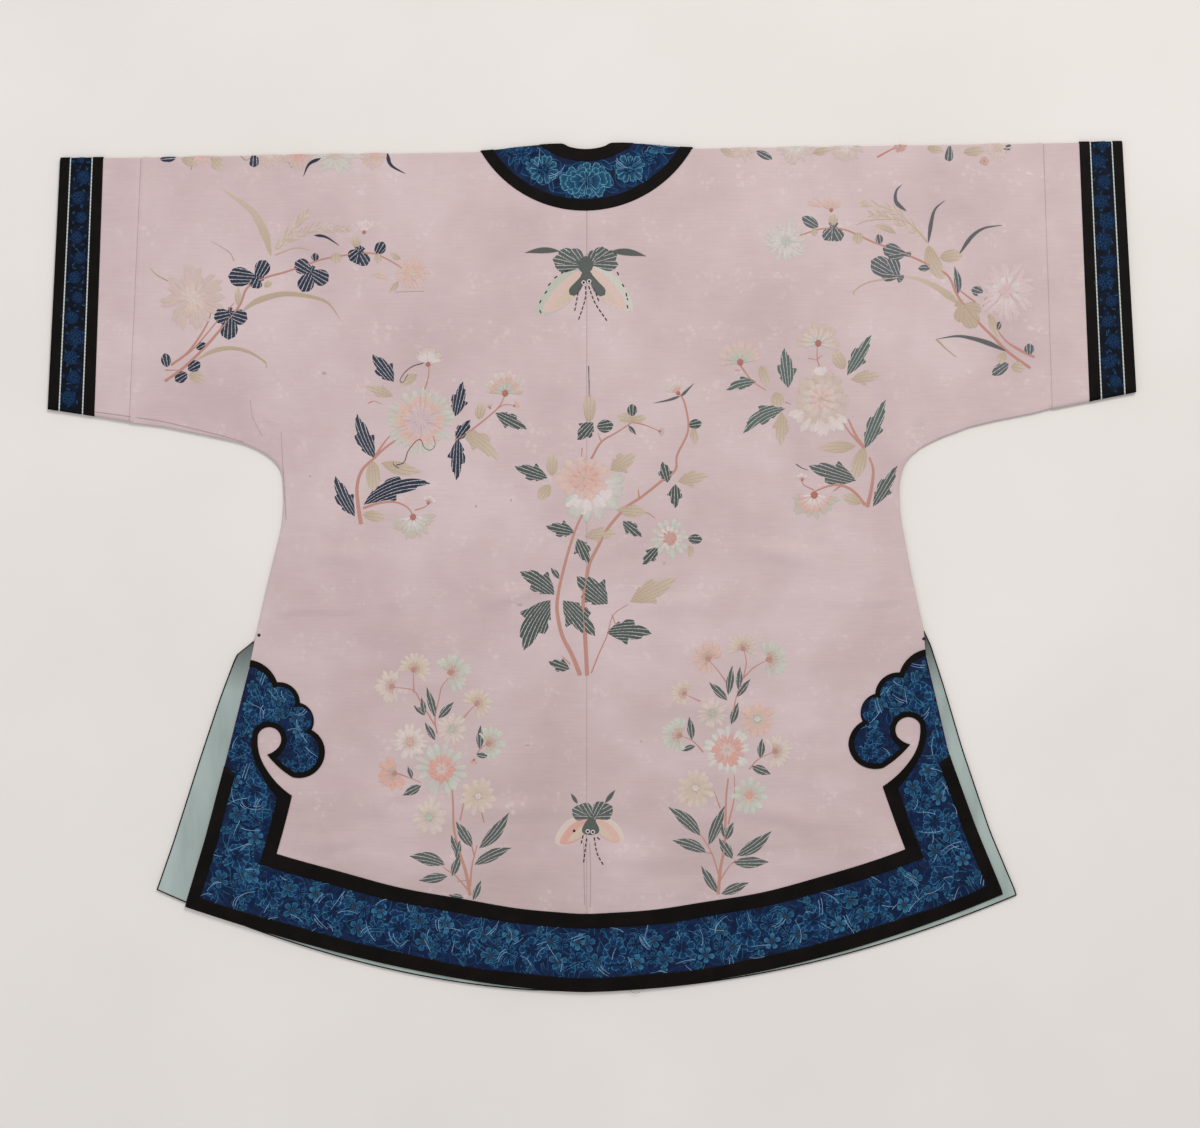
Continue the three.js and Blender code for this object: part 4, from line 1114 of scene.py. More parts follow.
def ring(work, middle, start, stop, count, width, base, tip=None, shape="petal", heading=0.0, spread=360.0,
         rim=None,
         squash=1.0, turn=0.0, jitter=6.0, lift=0.04, rows=6, height=0.4, curl=0.0, worn=(0.08, 0.5)):
    """Petals round a middle from radius start to stop, over a spread about a heading, flattened by squash."""
    step = spread / count if spread >= 360 else spread / max(count - 1, 1)
    for k in range(count):
        angle = heading + turn + (k - (count - 1) / 2) * step + random.uniform(-jitter, jitter)
        reach = random.uniform(0.86, 1.08)
        u = np.linspace(0, 1, rows)
        aside = towards(angle + 90) * curl * (stop - start) * random.uniform(-1, 1)
        line = np.outer(mix(start, stop * reach, u), towards(angle)) + np.outer(u ** 2, aside)
        upright = towards(heading)
        line = line - np.outer(line @ upright * (1 - squash), upright)
        # Petals without a rim get darker sides, a painted shade between them.
        stitch(work, middle + line, width / 2 * random.uniform(0.9, 1.1) * SHAPES[shape](u), base, tip, rim,
               columns=5 if rim is None else 4, lift=lift, height=height,
               edge_tone=0.84 if rim is None else 1.0, worn=0.0 if rim else random.uniform(*worn))


def stem(work, points, width, dye="coral", tip=None, height=0.35, lift=0.04):
    """A stem or tendril through places in the photograph, tapering to its end."""
    line = smooth_line([cloth_place(*point) for point in points], 7)
    u = np.linspace(0, 1, len(line))
    stitch(work, line, width / 2 * (1 - 0.55 * u), dye, tip, columns=3, height=height, lift=lift)


def blade(work, points, width, base="khaki", tip="khaki_pale", shape="blade", **dyes):
    """A grass-like blade through places in the photograph."""
    line = smooth_line([cloth_place(*point) for point in points], 9)
    stitch(work, line, width / 2 * SHAPES[shape](np.linspace(0, 1, len(line))), base, tip, **dyes)


def lobed_leaf(work, px, py, lobes, dye):
    """A leaf of rounded lobes from one base; each lobe is a heading, a length and a width."""
    base = cloth_place(px, py)
    for heading, length, width in lobes:
        ahead = towards(heading)
        leaf(work, base + ahead * (length / 2 - 4), length + 8, width * 1.4, heading, "lobe", rows=10,
             base=dye, veins=-0.6 if dye == "khaki" else 1, columns=7)


def floss_material(name, thread_step, sheen, specular):
    """Floss of any dye, from the mesh's colours: fine threads along each patch, and white lines in leaves."""
    finish = new_material(
        name, "C8B8B0", 0.45, Sheen_Weight=sheen, Sheen_Roughness=0.3, Specular_IOR_Level=specular
    )
    shader = shader_of(finish)
    dye = add_node(finish, "ShaderNodeVertexColor", {"layer_name": "dye"})
    veins = add_node(finish, "ShaderNodeAttribute", {"attribute_name": "veins"})
    thread = add_node(finish, "ShaderNodeUVMap", {"uv_map": "thread"})
    axes = add_node(finish, "ShaderNodeSeparateXYZ", inputs={"Vector": thread.outputs[0]})

    def maths(operation, a, b=0.0, c=0.0):
        return add_node(finish, "ShaderNodeMath", {"operation": operation}, {0: a, 1: b, 2: c}).outputs[0]

    # The UV map holds millimetres: x along the patch and y across it. Threads lie a little aslant.
    aslant = maths("MULTIPLY_ADD", axes.outputs["X"], 0.35, axes.outputs["Y"])
    strand = maths("SINE", maths("MULTIPLY", aslant, 2 * np.pi / thread_step))
    noise = add_node(
        finish, "ShaderNodeTexNoise", inputs={"Vector": thread.outputs[0], "Scale": 0.6, "Detail": 3.0}
    )
    tone = maths(
        "ADD", maths("MULTIPLY", strand, 0.1), maths("MULTIPLY_ADD", noise.outputs["Fac"], 0.36, 0.82)
    )
    dyed = add_node(
        finish, "ShaderNodeMix", {"data_type": "RGBA", "blend_type": "MULTIPLY"},
        {"Factor": 1.0, 6: dye.outputs["Color"], 7: tone},
    )
    wander = maths("MULTIPLY", noise.outputs["Fac"], 0.5)
    shaded = add_node(
        finish, "ShaderNodeMix", {"data_type": "RGBA", "blend_type": "MULTIPLY"},
        {"Factor": 1.0, 6: dyed.outputs[2], 7: linear("D9D0C6")},
    )
    line_dye = add_node(
        finish, "ShaderNodeMix", {"data_type": "RGBA"},
        {"Factor": maths("GREATER_THAN", veins.outputs["Fac"], 0.0), 6: shaded.outputs[2],
         7: linear(FLOSS["thread_white"])},
    )
    line_place = maths("FRACT", maths("ADD", maths("MULTIPLY", axes.outputs["Y"], 1 / VEIN_STEP), wander))
    line_mask = maths("LESS_THAN", maths("ABSOLUTE", maths("SUBTRACT", line_place, 0.5)), 0.085)
    add_node(
        finish, "ShaderNodeMix", {"data_type": "RGBA"}, {"Factor": maths("MULTIPLY", line_mask,
         maths("MULTIPLY", maths("ABSOLUTE", veins.outputs["Fac"]), 0.7)),
         6: dyed.outputs[2], 7: line_dye.outputs[2]},
        {2: shader.inputs["Base Color"]},
    )
    add_node(
        finish, "ShaderNodeBump", inputs={"Strength": 0.4, "Distance": 0.0002, "Height": strand},
        outputs={"Normal": shader.inputs["Normal"]},
    )
    return finish


def sew_on(work, name, finish, slot, base_w):
    """The batch laid on the cloth as one mesh, with its dye, its thread directions and its veins."""
    flat = np.concatenate(work["flat"])
    lift = np.concatenate(work["lift"])
    points = on_cloth(flat[:, 0], flat[:, 1], base_w + lift)
    piece = add_piece(name, points, np.concatenate(work["faces"]), finish, slot)
    mesh = piece.data
    rgb = np.concatenate(work["dye"])
    dye = mesh.color_attributes.new("dye", "FLOAT_COLOR", "POINT")
    dye.data.foreach_set("color", np.column_stack([rgb, np.ones(len(rgb))]).ravel())
    veins = mesh.attributes.new("veins", "FLOAT", "POINT")
    veins.data.foreach_set("value", np.concatenate(work["veins"]))
    corner = np.zeros(len(mesh.loops), int)
    mesh.loops.foreach_get("vertex_index", corner)
    mesh.uv_layers.new(name="thread").data.foreach_set("uv", np.concatenate(work["thread"])[corner].ravel())
    return piece


# Silk floss, untwisted and glossy; its 0.4 mm strands are drawn at 0.9 mm
floss_finish = floss_material("floss_silk", 0.9, 0.15, 0.3)


# Flowers: each kind is a few rings of petals, outer ones first and inner ones a little higher.
def chrysanthemum(work, px, py, radius, outer, middle, heart):
    """A shaggy flower of thin curling petals, so worn that the silk shows through."""
    place = cloth_place(px, py)
    shared = {"shape": "petal", "curl": 0.45, "jitter": 10, "rows": 8}
    width = radius * 0.17 + 2
    ring(work, place, radius * 0.3, radius * 1.04, 25, width, middle, outer, worn=(0.25, 0.75), **shared)
    ring(work, place, radius * 0.2, radius * 0.78, 19, width, middle, outer, turn=9, lift=0.14,
         worn=(0.1, 0.6), **shared)
    ring(work, place, radius * 0.08, radius * 0.5, 13, width, heart, middle, turn=4, lift=0.24, **shared)
    ring(work, place, 0, radius * 0.26, 8, width, heart, heart, lift=0.34, **shared)


def peony(work, px, py, radius, outer, middle, heart, heading=0, squash=1.0):
    place = cloth_place(px, py)
    shared = {"heading": heading, "squash": squash}
    ring(work, place, radius * 0.5, radius, 14, radius * 0.5, outer, outer, **shared)
    ring(
        work, place, radius * 0.36, radius * 0.8, 12, radius * 0.44, middle, outer, turn=11, lift=0.12,
        **shared,
    )
    ring(work, place, radius * 0.22, radius * 0.6, 10, radius * 0.36, heart, middle, lift=0.22, **shared)
    ring(
        work, place, radius * 0.05, radius * 0.38, 8, radius * 0.26, heart, heart, turn=15, lift=0.32,
        **shared,
    )
    ring(work, place, 0, radius * 0.14, 5, radius * 0.14, "khaki", "yellow", turn=7, lift=0.42, **shared)


def blossom(work, px, py, radius, petal_dye, heart="coral", count=16, tip=None, heading=0, spread=360):
    """A small open flower; with a spread under 360 it is seen from the side, its petals at the heading."""
    place = cloth_place(px, py)
    shared = {"heading": heading, "spread": spread, "worn": (0.05, 0.45)}
    ring(work, place, radius * 0.2, radius, count, 5.2 * radius / count, petal_dye, tip or "cream", jitter=10,
         shape="thin", **shared)
    ring(work, place, radius * 0.15, radius * 0.72, count - 2, 4.4 * radius / count, "khaki_pale",
         petal_dye, "thin", turn=14, lift=0.12, **shared)
    ring(
        work, place, radius * 0.1, radius * 0.42, count, 0.9, "khaki_pale", heart, "stem", turn=8, lift=0.3,
        **shared,
    )
    ring(work, place, 0, radius * 0.19, 6, radius * 0.2, heart, heart, lift=0.4, worn=(0, 0.1))


def fan(work, px, py, radius, heading, outer, middle, heart, spread=130, base="coral_deep"):
    """A flower seen from the side: petals spread from its base, which has a small cup."""
    place = cloth_place(px, py)
    shared = {"heading": heading, "spread": spread}
    ring(work, place, radius * 0.35, radius * 1.7, 13, radius * 0.5, middle, outer, **shared)
    ring(work, place, radius * 0.3, radius * 1.3, 10, radius * 0.42, heart, middle, lift=0.15, **shared)
    ring(
        work, place, radius * 0.15, radius * 0.8, 5, radius * 0.24, heart, heart, lift=0.26, shape="thin",
        **shared,
    )
    leaf(work, place, radius * 0.55, radius * 0.5, heading, "oval", base=base, lift=0.4)


# Spray tables: stems are listed by dye and blades by their two dyes, each with a width and its points; leaves
# by shape and dye, each with px, py, length, width and heading, and a bend where it has one; flowers by kind.
VEINED = ("navy", "green", "sage", "grey", "grey_green", "ink")


def sew_spray(name, spray):
    """A spray from its tables: stems first, then blades and leaves, then flowers on top."""
    work = new_work()
    for dye, rows in spray.get("stems", ()):
        for width, points in rows:
            stem(work, points, width, dye)
    for base, tip, rows in spray.get("blades", ()):
        for width, points in rows:
            blade(work, points, width, base, tip, lift=0.5 if base in VEINED else 0.04)
    for shape, dye, rows in spray.get("leaves", ()):
        dark = dye in VEINED
        for px, py, length, width, heading, *bend in rows:
            leaf(
                work, cloth_place(px, py), length, width, heading, shape, *bend,
                rows=40 if shape == "jagged" else 12, base=dye, tip=None if dark else "khaki_pale",
                veins=1.0 if dark else -0.8, columns=7, lift=0.06,
            )
    for px, py, dye, lobes in spray.get("lobed", ()):
        lobed_leaf(work, px, py, lobes, dye)
    for points, width in spray.get("fronds", ()):
        frond(work, points, width)
    for kind, rows in spray.get("flowers", ()):
        for row in rows:
            values = list(row)
            options = values.pop() if isinstance(values[-1], dict) else {}
            FLOWER_KINDS[kind](work, *values, **options)
    for points in spray.get("ticks", ()):
        stem(work, points, 0.9, "ink", height=0.4, lift=0.6)
    return sew_on(work, "embroidery_" + name, floss_finish, "silk", FLOSS_BASE_W)


def petals(work, px, py, start, stop, count, width, base, tip, **options):
    ring(work, cloth_place(px, py), start, stop, count, width, base, tip, **options)


def aster(work, px, py, outer_radius, inner_radius, outer, inner, heart):
    """The large flower of the lower sprays: broad pale petals behind a dense bright ring."""
    place = cloth_place(px, py)
    ring(work, place, inner_radius * 0.6, outer_radius, 20, outer_radius * 0.33, outer, "mint_pale", jitter=9)
    ring(
        work, place, inner_radius * 0.35, inner_radius, 24, inner_radius * 0.27, "salmon", inner, "thin",
        lift=0.16,
    )
    ring(
        work, place, inner_radius * 0.1, inner_radius * 0.55, 16, inner_radius * 0.2, heart, inner, "thin",
        lift=0.26,
    )


FLOWER_KINDS = {
    "chrysanthemum": chrysanthemum, "peony": peony, "blossom": blossom, "fan": fan, "petals": petals,
    "aster": aster,
}


def frond(work, points, width, dye="khaki_pale", pairs=13):
    """A feathery grass head: short thin leaves in pairs along a smooth line."""
    line = smooth_line([cloth_place(*point) for point in points], 6)
    places = np.linspace(0.12, 1, pairs)
    arc = np.linspace(0, 1, len(line))
    for place in places:
        at = np.array([np.interp(place, arc, line[:, 0]), np.interp(place, arc, line[:, 1])])
        near = min(place + 0.04, 1)
        ahead = np.array([np.interp(near, arc, line[:, 0]), np.interp(near, arc, line[:, 1])])
        step = ahead - np.array(
            [np.interp(near - 0.08, arc, line[:, 0]), np.interp(near - 0.08, arc, line[:, 1])]
        )
        heading = np.degrees(np.arctan2(step[0], -step[1]))
        size = width * (0.55 + 0.75 * np.sin(np.pi * place * 0.9))
        for turn in (-24, 0, 22):
            angle = heading + turn + random.uniform(-6, 6)
            leaf(work, at + towards(angle) * size / 2, size, 1.7, angle, "lance", rows=6, base=dye, columns=3,
                 tip="cream" if random.random() < 0.5 else "khaki")


# Left sleeve: a bending spray of chrysanthemums with navy lobed leaves and khaki grass.
LEFT_SLEEVE = {
    "stems": (
        ("coral", (
            (3.6, (
                (165, 381), (183, 368), (203, 349), (219, 331), (239, 306), (247, 288), (264, 278),
                (285, 272), (305, 265), (323, 259), (346, 255), (371, 253), (387, 259), (402, 268),
            )),
            (3.2, ((171, 365), (188, 352), (203, 331), (210, 316), (210, 306))),
            (2.4, ((173, 363), (193, 349), (219, 319), (234, 303))), (1.8, ((165, 370), (180, 370))),
        )),
        ("khaki_deep", (
            (1.4, ((234, 261), (229, 252), (211, 241))), (1.8, ((168, 281), (157, 275), (150, 268))),
        )),
        ("khaki", ((2.2, ((275, 255), (295, 248), (310, 250))),)),
    ),
    "blades": (
        ("khaki", "khaki_pale", ((11, ((271, 256), (264, 232), (252, 211), (234, 197), (220, 188))),)),
        ("khaki", "khaki_deep", (
            (8, ((241, 312), (257, 301), (282, 294), (308, 296), (328, 303), (341, 321))),
            (6, ((196, 360), (213, 351), (231, 348), (249, 352), (265, 362), (266, 369))),
        )),
        ("navy", "navy", ((3.4, ((314, 235), (326, 237), (340, 246))),)),
    ),
    "leaves": (
        ("oval", "navy", (
            (166, 360, 17, 12, 350), (201, 346, 13, 9, 60), (194, 366, 17, 14, 60),
            (181, 377, 17, 14, 240), (315, 257, 10, 9, 0), (380, 248, 17, 14, 30),
        )),
        ("oval", "khaki", (
            (268, 284, 11, 8, 60), (336, 258, 13, 14, 180), (356, 242, 13, 12, 0), (378, 258, 13, 9, 180),
            (197, 377, 20, 14, 110),
        )),
        ("lance", "khaki", ((238, 296, 26, 8, 0),)),
        ("lance", "peach_pale", ((379, 277, 22, 8, 285, 0.1),)),
        ("lance", "khaki", ((394, 287, 18, 7, 220), (395, 256, 16, 7, 300))),
    ),
    "lobed": (
        (257, 278, "navy", ((275, 35, 19), (28, 24, 15), (205, 13, 15))),
        (311, 272, "navy", ((303, 23, 15), (205, 26, 16), (120, 24, 16))),
        (230, 314, "navy", ((258, 20, 15), (184, 31, 17), (108, 22, 15))),
        (359, 252, "navy", ((230, 15, 14), (150, 19, 13), (190, 15, 11))),
    ),
    "fronds": (
        (((271, 256), (283, 240), (296, 225), (305, 215)), 12),
        (((272, 255), (290, 240), (315, 229), (344, 229)), 12),
    ),
    "flowers": (
        ("chrysanthemum", (
            (193, 298, 37, "khaki_pale", "peach_pale", "cream"),
            (412, 273, 20, "peach_pale", "peach", "yellow"),
        )),
        ("fan", ((364, 232, 9, 5, "white", "pink", "white", {"spread": 100}),)),
    ),
}

# Right sleeve: the same spray turned round, in greys.
RIGHT_SLEEVE = {
    "stems": (
        ("coral", (
            (3.6, (
                (1030, 368), (1008, 352), (994, 338), (979, 323), (963, 304), (956, 293), (948, 276),
                (933, 267), (912, 257), (892, 249), (873, 242), (862, 237), (842, 229), (820, 229),
                (804, 234), (792, 238),
            )),
            (3.2, ((1034, 357), (1019, 350), (1004, 339), (988, 316))), (2.2, ((1028, 354), (1009, 343))),
            (2.4, ((975, 302), (963, 293), (958, 289))),
            (2.0, ((983, 306), (985, 299), (992, 292), (1000, 288))),
        )),
        ("khaki", (
            (2.6, ((898, 277), (885, 279), (866, 283), (854, 291), (854, 295))),
            (2.4, ((927, 242), (915, 228), (904, 221), (885, 219), (866, 221), (856, 225))),
        )),
        ("khaki_deep", ((2.6, ((936, 339), (945, 348), (956, 357))),)),
    ),
    "blades": (
        ("grey", "grey", (
            (5, ((928, 243), (931, 222), (935, 209), (945, 200))),
            (5, ((959, 254), (971, 237), (984, 228), (1003, 225))),
            (5, ((906, 211), (896, 202), (896, 191), (902, 184))),
            (6, ((1006, 351), (988, 343), (971, 338), (956, 336), (936, 339))),
        )),
        ("khaki", "khaki_pale", ((9.5, ((958, 303), (948, 295), (933, 285), (915, 278), (898, 276))),)),
    ),
    "leaves": (
        ("oval", "grey", (
            (810, 222, 23, 13, 302), (879, 239, 12, 9, 350), (924, 268, 15, 8, 270),
            (977, 291, 15, 12, 290), (998, 326, 12, 7, 20), (1029, 349, 14, 12, 0),
            (1000, 369, 24, 13, 235),
        )),
        ("lance", "grey", ((956, 280, 34, 9, 352, 0.05),)),
        ("oval", "khaki", (
            (936, 262, 45, 18, 155, 0.08), (951, 256, 28, 16, 85), (833, 220, 14, 12, 0),
            (858, 238, 14, 14, 180), (814, 232, 10, 8, 180),
        )),
        ("lance", "khaki", ((994, 327, 36, 10, 160),)),
        ("oval", "khaki", ((1002, 358, 15, 11, 200), (1018, 367, 17, 14, 100))),
        ("lance", "khaki", ((884, 230, 30, 8, 290, 0.1),)),
    ),
    "lobed": (
        (904, 254, "grey", ((286, 27, 14), (262, 20, 11))),
        (897, 276, "grey", ((302, 37, 19), (336, 24, 15), (275, 20, 12))),
        (833, 228, "grey", ((217, 18, 12), (150, 18, 13), (184, 16, 11))),
        (961, 306, "khaki", ((105, 25, 14), (145, 32, 18), (185, 20, 13))),
    ),
    "fronds": (
        (((927, 242), (911, 224), (893, 211), (871, 205), (863, 203)), 13),
        (((925, 241), (909, 229), (888, 218), (872, 214)), 11),
    ),
    "flowers": (
        ("chrysanthemum", (
            (1006, 291, 35, "pink", "white", "pink"), (786, 241, 25, "mint_pale", "white", "mint"),
        )),
        ("fan", ((831, 210, 9, 0, "peach_pale", "peach", "khaki_pale", {"spread": 120}),)),
        ("petals", ((826, 209, 6, 23, 3, 5, "peach", "peach_pale", {"heading": 300, "spread": 24}),)),
    ),
}

# Left of the middle: a great peony with jagged navy leaves, and smaller flowers seen from the side.
LEFT_MIDDLE = {
    "stems": (
        ("coral", (
            (5, ((361, 524), (358, 505), (357, 486), (362, 470), (374, 458), (386, 447), (399, 438))),
            (3, ((375, 456), (383, 444), (391, 434))), (2, ((424, 391), (428, 378), (429, 366))),
            (2.6, ((455, 440), (471, 430), (490, 415), (500, 405), (505, 394))),
            (1.8, ((492, 413), (503, 405), (514, 405))),
            (3.2, ((363, 508), (379, 503), (395, 502), (407, 507), (413, 515))),
            (1.8, ((415, 510), (424, 507), (430, 503))), (1.4, ((368, 403), (374, 401), (382, 404))),
        )),
    ),
    "leaves": (
        ("jagged", "khaki", ((379, 391, 36, 15, 290),)), ("lance", "khaki", ((408, 380, 26, 12, 240),)),
        ("jagged", "khaki", ((479, 446, 60, 24, 128, -0.08),)),
        ("lance", "khaki", ((402, 467, 52, 16, 103, 0.04),)),
        ("oval", "khaki", ((373, 476, 38, 17, 178), (374, 516, 27, 13, 100), (480, 411, 20, 13, 10))),
        ("jagged", "navy", (
            (383, 368, 42, 23, 322), (459, 399, 43, 20, 12), (463, 430, 30, 18, 35),
            (457, 459, 51, 21, 182), (366, 436, 58, 23, 338, -0.05), (345, 496, 54, 22, 334, -0.04),
            (397, 494, 84, 27, 73, -0.1),
        )),
        ("jagged", "green", ((511, 421, 43, 19, 118),)),
    ),
    "flowers": (
        ("petals", (
            (420, 421, 22, 41, 34, 8, "mint", "mint_pale", {"shape": "thin"}),
            (420, 421, 16, 33, 32, 7, "peach", "peach_pale", {"shape": "thin", "lift": 0.14}),
            (421, 421, 7, 23, 24, 6, "lilac", "peach_pale", {"shape": "thin", "lift": 0.24}),
            (421, 421, 0, 14, 14, 4.2, "pink", "lilac", {"shape": "thin", "lift": 0.34}),
        )),
        ("fan", (
            (428, 364, 12, 8, "khaki_pale", "white", "white", {"spread": 130}),
            (505, 393, 16, 0, "mint_pale", "salmon", "mint", {"spread": 165}),
        )),
        ("petals", ((505, 393, 12, 27, 6, 9, "peach", "white", {"heading": 0, "spread": 110}),)),
        ("fan", (
            (413, 517, 16, 172, "khaki_pale", "mint", "white", {"spread": 165}),
            (428, 503, 6, 20, "white", "white", "coral", {"spread": 110}),
            (490, 408, 4, 340, "pink", "pink", "coral", {"spread": 90}),
            (514, 406, 4, 60, "peach", "peach", "peach", {"spread": 90}),
        )),
    ),
    "ticks": (
        ((423, 363), (413, 366), (405, 372), (400, 380), (403, 382), (408, 374)),
        ((396, 465), (404, 462), (408, 451), (416, 441), (421, 440), (424, 447), (430, 450), (435, 445), (
            433, 436,
        )),
        ((399, 468), (394, 465), (393, 462)),
    ),
}

# Right of the middle: its partner, with grey-green leaves and a paler peony.
RIGHT_MIDDLE = {
    "stems": (
        ("coral", (
            (5, ((867, 507), (871, 490), (873, 470), (869, 457))),
            (4.6, ((864, 448), (856, 436), (848, 419))), (3, ((863, 447), (850, 433), (842, 421))),
            (4, ((865, 505), (853, 491), (840, 485), (828, 486), (815, 491))),
            (2.6, ((840, 486), (833, 491))), (1.8, ((814, 490), (804, 485), (801, 480))),
            (1.8, ((819, 366), (817, 358), (817, 345))), (1.3, ((808, 358), (817, 360))),
            (1.3, ((817, 359), (822, 355))), (2.2, ((740, 365), (748, 376), (756, 384), (766, 390))),
            (1.4, ((735, 370), (740, 370))), (1.7, ((785, 402), (791, 404))),
        )),
        ("grey", ((1.6, ((796, 464), (802, 468), (808, 470))),)),
    ),
    "leaves": (
        ("oval", "khaki", ((764, 376, 27, 12, 160), (777, 400, 20, 16, 170))),
        ("jagged", "khaki", ((781, 429, 42, 20, 182),)), ("oval", "khaki", ((839, 360, 25, 16, 330),)),
        ("jagged", "khaki", ((866, 377, 38, 18, 82),)), ("lance", "khaki", ((836, 447, 48, 15, 268),)),
        ("oval", "khaki", ((859, 463, 40, 17, 196), (852, 499, 25, 13, 290))),
        ("jagged", "grey_green", (
            (859, 355, 56, 20, 31), (786, 368, 48, 23, 354), (741, 386, 37, 16, 255, 0.08),
            (764, 421, 58, 22, 240, 0.12), (875, 424, 64, 21, 23),
        )),
        ("jagged", "sage", ((832, 473, 60, 29, 288), (885, 486, 57, 19, 31))),
    ),
    "flowers": (
        ("petals", ((821, 402, 16, 41, 15, 12, "cream", "white", {"heading": 186, "spread": 120}),)),
        ("peony", ((821, 399, 34, "khaki_pale", "cream", "peach_pale"),)),
        ("petals", ((820, 378, 0, 15, 3, 12, "white", "white", {"heading": 0, "spread": 50}),)),
        ("fan", (
            (818, 343, 16, 5, "khaki_pale", "peach_pale", "mint_pale", {"spread": 205}),
            (740, 362, 16, 355, "peach_pale", "khaki_pale", "mint", {"spread": 175}),
            (814, 495, 18, 181, "mint", "salmon", "white", {"spread": 165}),
            (802, 480, 5, 0, "white", "white", "coral", {"spread": 100}),
        )),
    ),
}

# Centre: three rising stems with a peach peony, dark green leaves and a bud.
CENTRE = {
    "stems": (
        ("coral", (
            (5.4, (
                (580, 675), (572, 655), (562, 635), (557, 611), (558, 594), (562, 575), (570, 545),
                (578, 523), (584, 512),
            )),
            (4.8, (
                (587, 675), (585, 640), (583, 605), (586, 580), (590, 562), (598, 546), (607, 529),
                (625, 508), (641, 497), (660, 482), (675, 470), (677, 455), (688, 430), (685, 405),
                (680, 394),
            )),
            (1.8, ((591, 673), (599, 653), (607, 635), (613, 615), (628, 604))),
            (1.8, ((612, 615), (616, 626))), (3, ((591, 459), (601, 442), (617, 432), (632, 422))),
            (2, ((632, 422), (645, 425), (662, 432))), (1.6, ((601, 442), (598, 433))),
            (2.4, ((639, 498), (638, 489))), (2, ((634, 509), (646, 512), (655, 518))),
            (2, ((570, 664), (562, 656))), (1.5, ((582, 448), (581, 460))),
        )),
    ),
    "leaves": (
        ("oval", "khaki", ((589.5, 408, 34, 15, 0),)), ("jagged", "khaki", ((623, 462, 36, 25, 60),)),
        ("oval", "khaki", ((552, 465, 26, 14, 0), (544, 492, 22, 15, 220))),
        ("jagged", "khaki", ((601, 534, 40, 19, 85),)), ("lance", "khaki", ((633, 511, 40, 16, 95),)),
        ("jagged", "khaki", ((693, 478, 38, 20, 80), (653, 590, 62, 29, 64))),
        ("oval", "khaki", (
            (626, 418, 22, 12, 280), (638, 419, 20, 10, 80), (690, 551, 15, 8, 180),
            (694, 436, 20, 10, 170),
        )),
        ("jagged", "green", ((585, 431, 28, 22, 222),)),
        ("oval", "green", ((605, 426, 20, 16, 85), (632, 410, 15, 12, 0))),
        ("lance", "green", ((632, 430, 15, 5, 140),)),
        ("jagged", "green", ((531, 472, 42, 21, 290), (665, 472, 26, 18, 345), (675, 496, 29, 18, 180))),
        ("oval", "green", ((695, 424, 16, 12, 80),)),
        ("jagged", "green", (
            (560, 529, 35, 20, 283), (583, 551, 33, 20, 155), (632, 529, 30, 17, 130),
            (650, 556, 27, 17, 222),
        )),
        ("oval", "green", ((695, 539, 17, 12, 95),)),
        ("jagged", "green", (
            (537, 583, 50, 28, 304, 0.05), (537, 625, 68, 38, 208, 0.06), (579, 618, 58, 33, 138),
            (592, 590, 50, 35, 312), (629, 633, 54, 30, 92, -0.05), (559, 665, 27, 17, 290),
        )),
        ("lance", "green", ((555, 573, 17, 7, 322),)),
    ),
    "blades": (
        ("grey", "grey", (
            (3.4, ((680, 396), (668, 400), (653, 403))), (3.8, ((681, 396), (687, 390), (694, 383))),
        )),
    ),
    "flowers": (
        ("petals", (
            (590, 486, 16, 42, 14, 14, "white", "mint", {"heading": 150, "spread": 165}),
            (588, 487, 12, 34, 8, 15, "white", "white", {"heading": 165, "spread": 130}),
        )),
        ("peony", ((584, 478, 34, "peach_pale", "peach", "peach", {"squash": 0.82}),)),
        ("petals", (
            (670, 538, 8, 23, 14, 9, "mint", "mint_pale"),
            (670, 538, 4, 16, 12, 7, "white", "cream", {"lift": 0.14}),
            (670, 538, 1, 10, 12, 4, "salmon", "coral", {"lift": 0.24}),
        )),
        ("fan", (
            (678, 393, 10, 330, "cream", "mint_pale", "salmon", {"spread": 80}),
            (659, 431, 4, 100, "khaki_pale", "khaki_pale", "coral", {"spread": 120}),
        )),
    ),
    "ticks": (
        ((588.4, 366), (588.7, 375), (588.8, 384)), ((588.9, 380), (589, 388), (589, 397)),
    ),
}

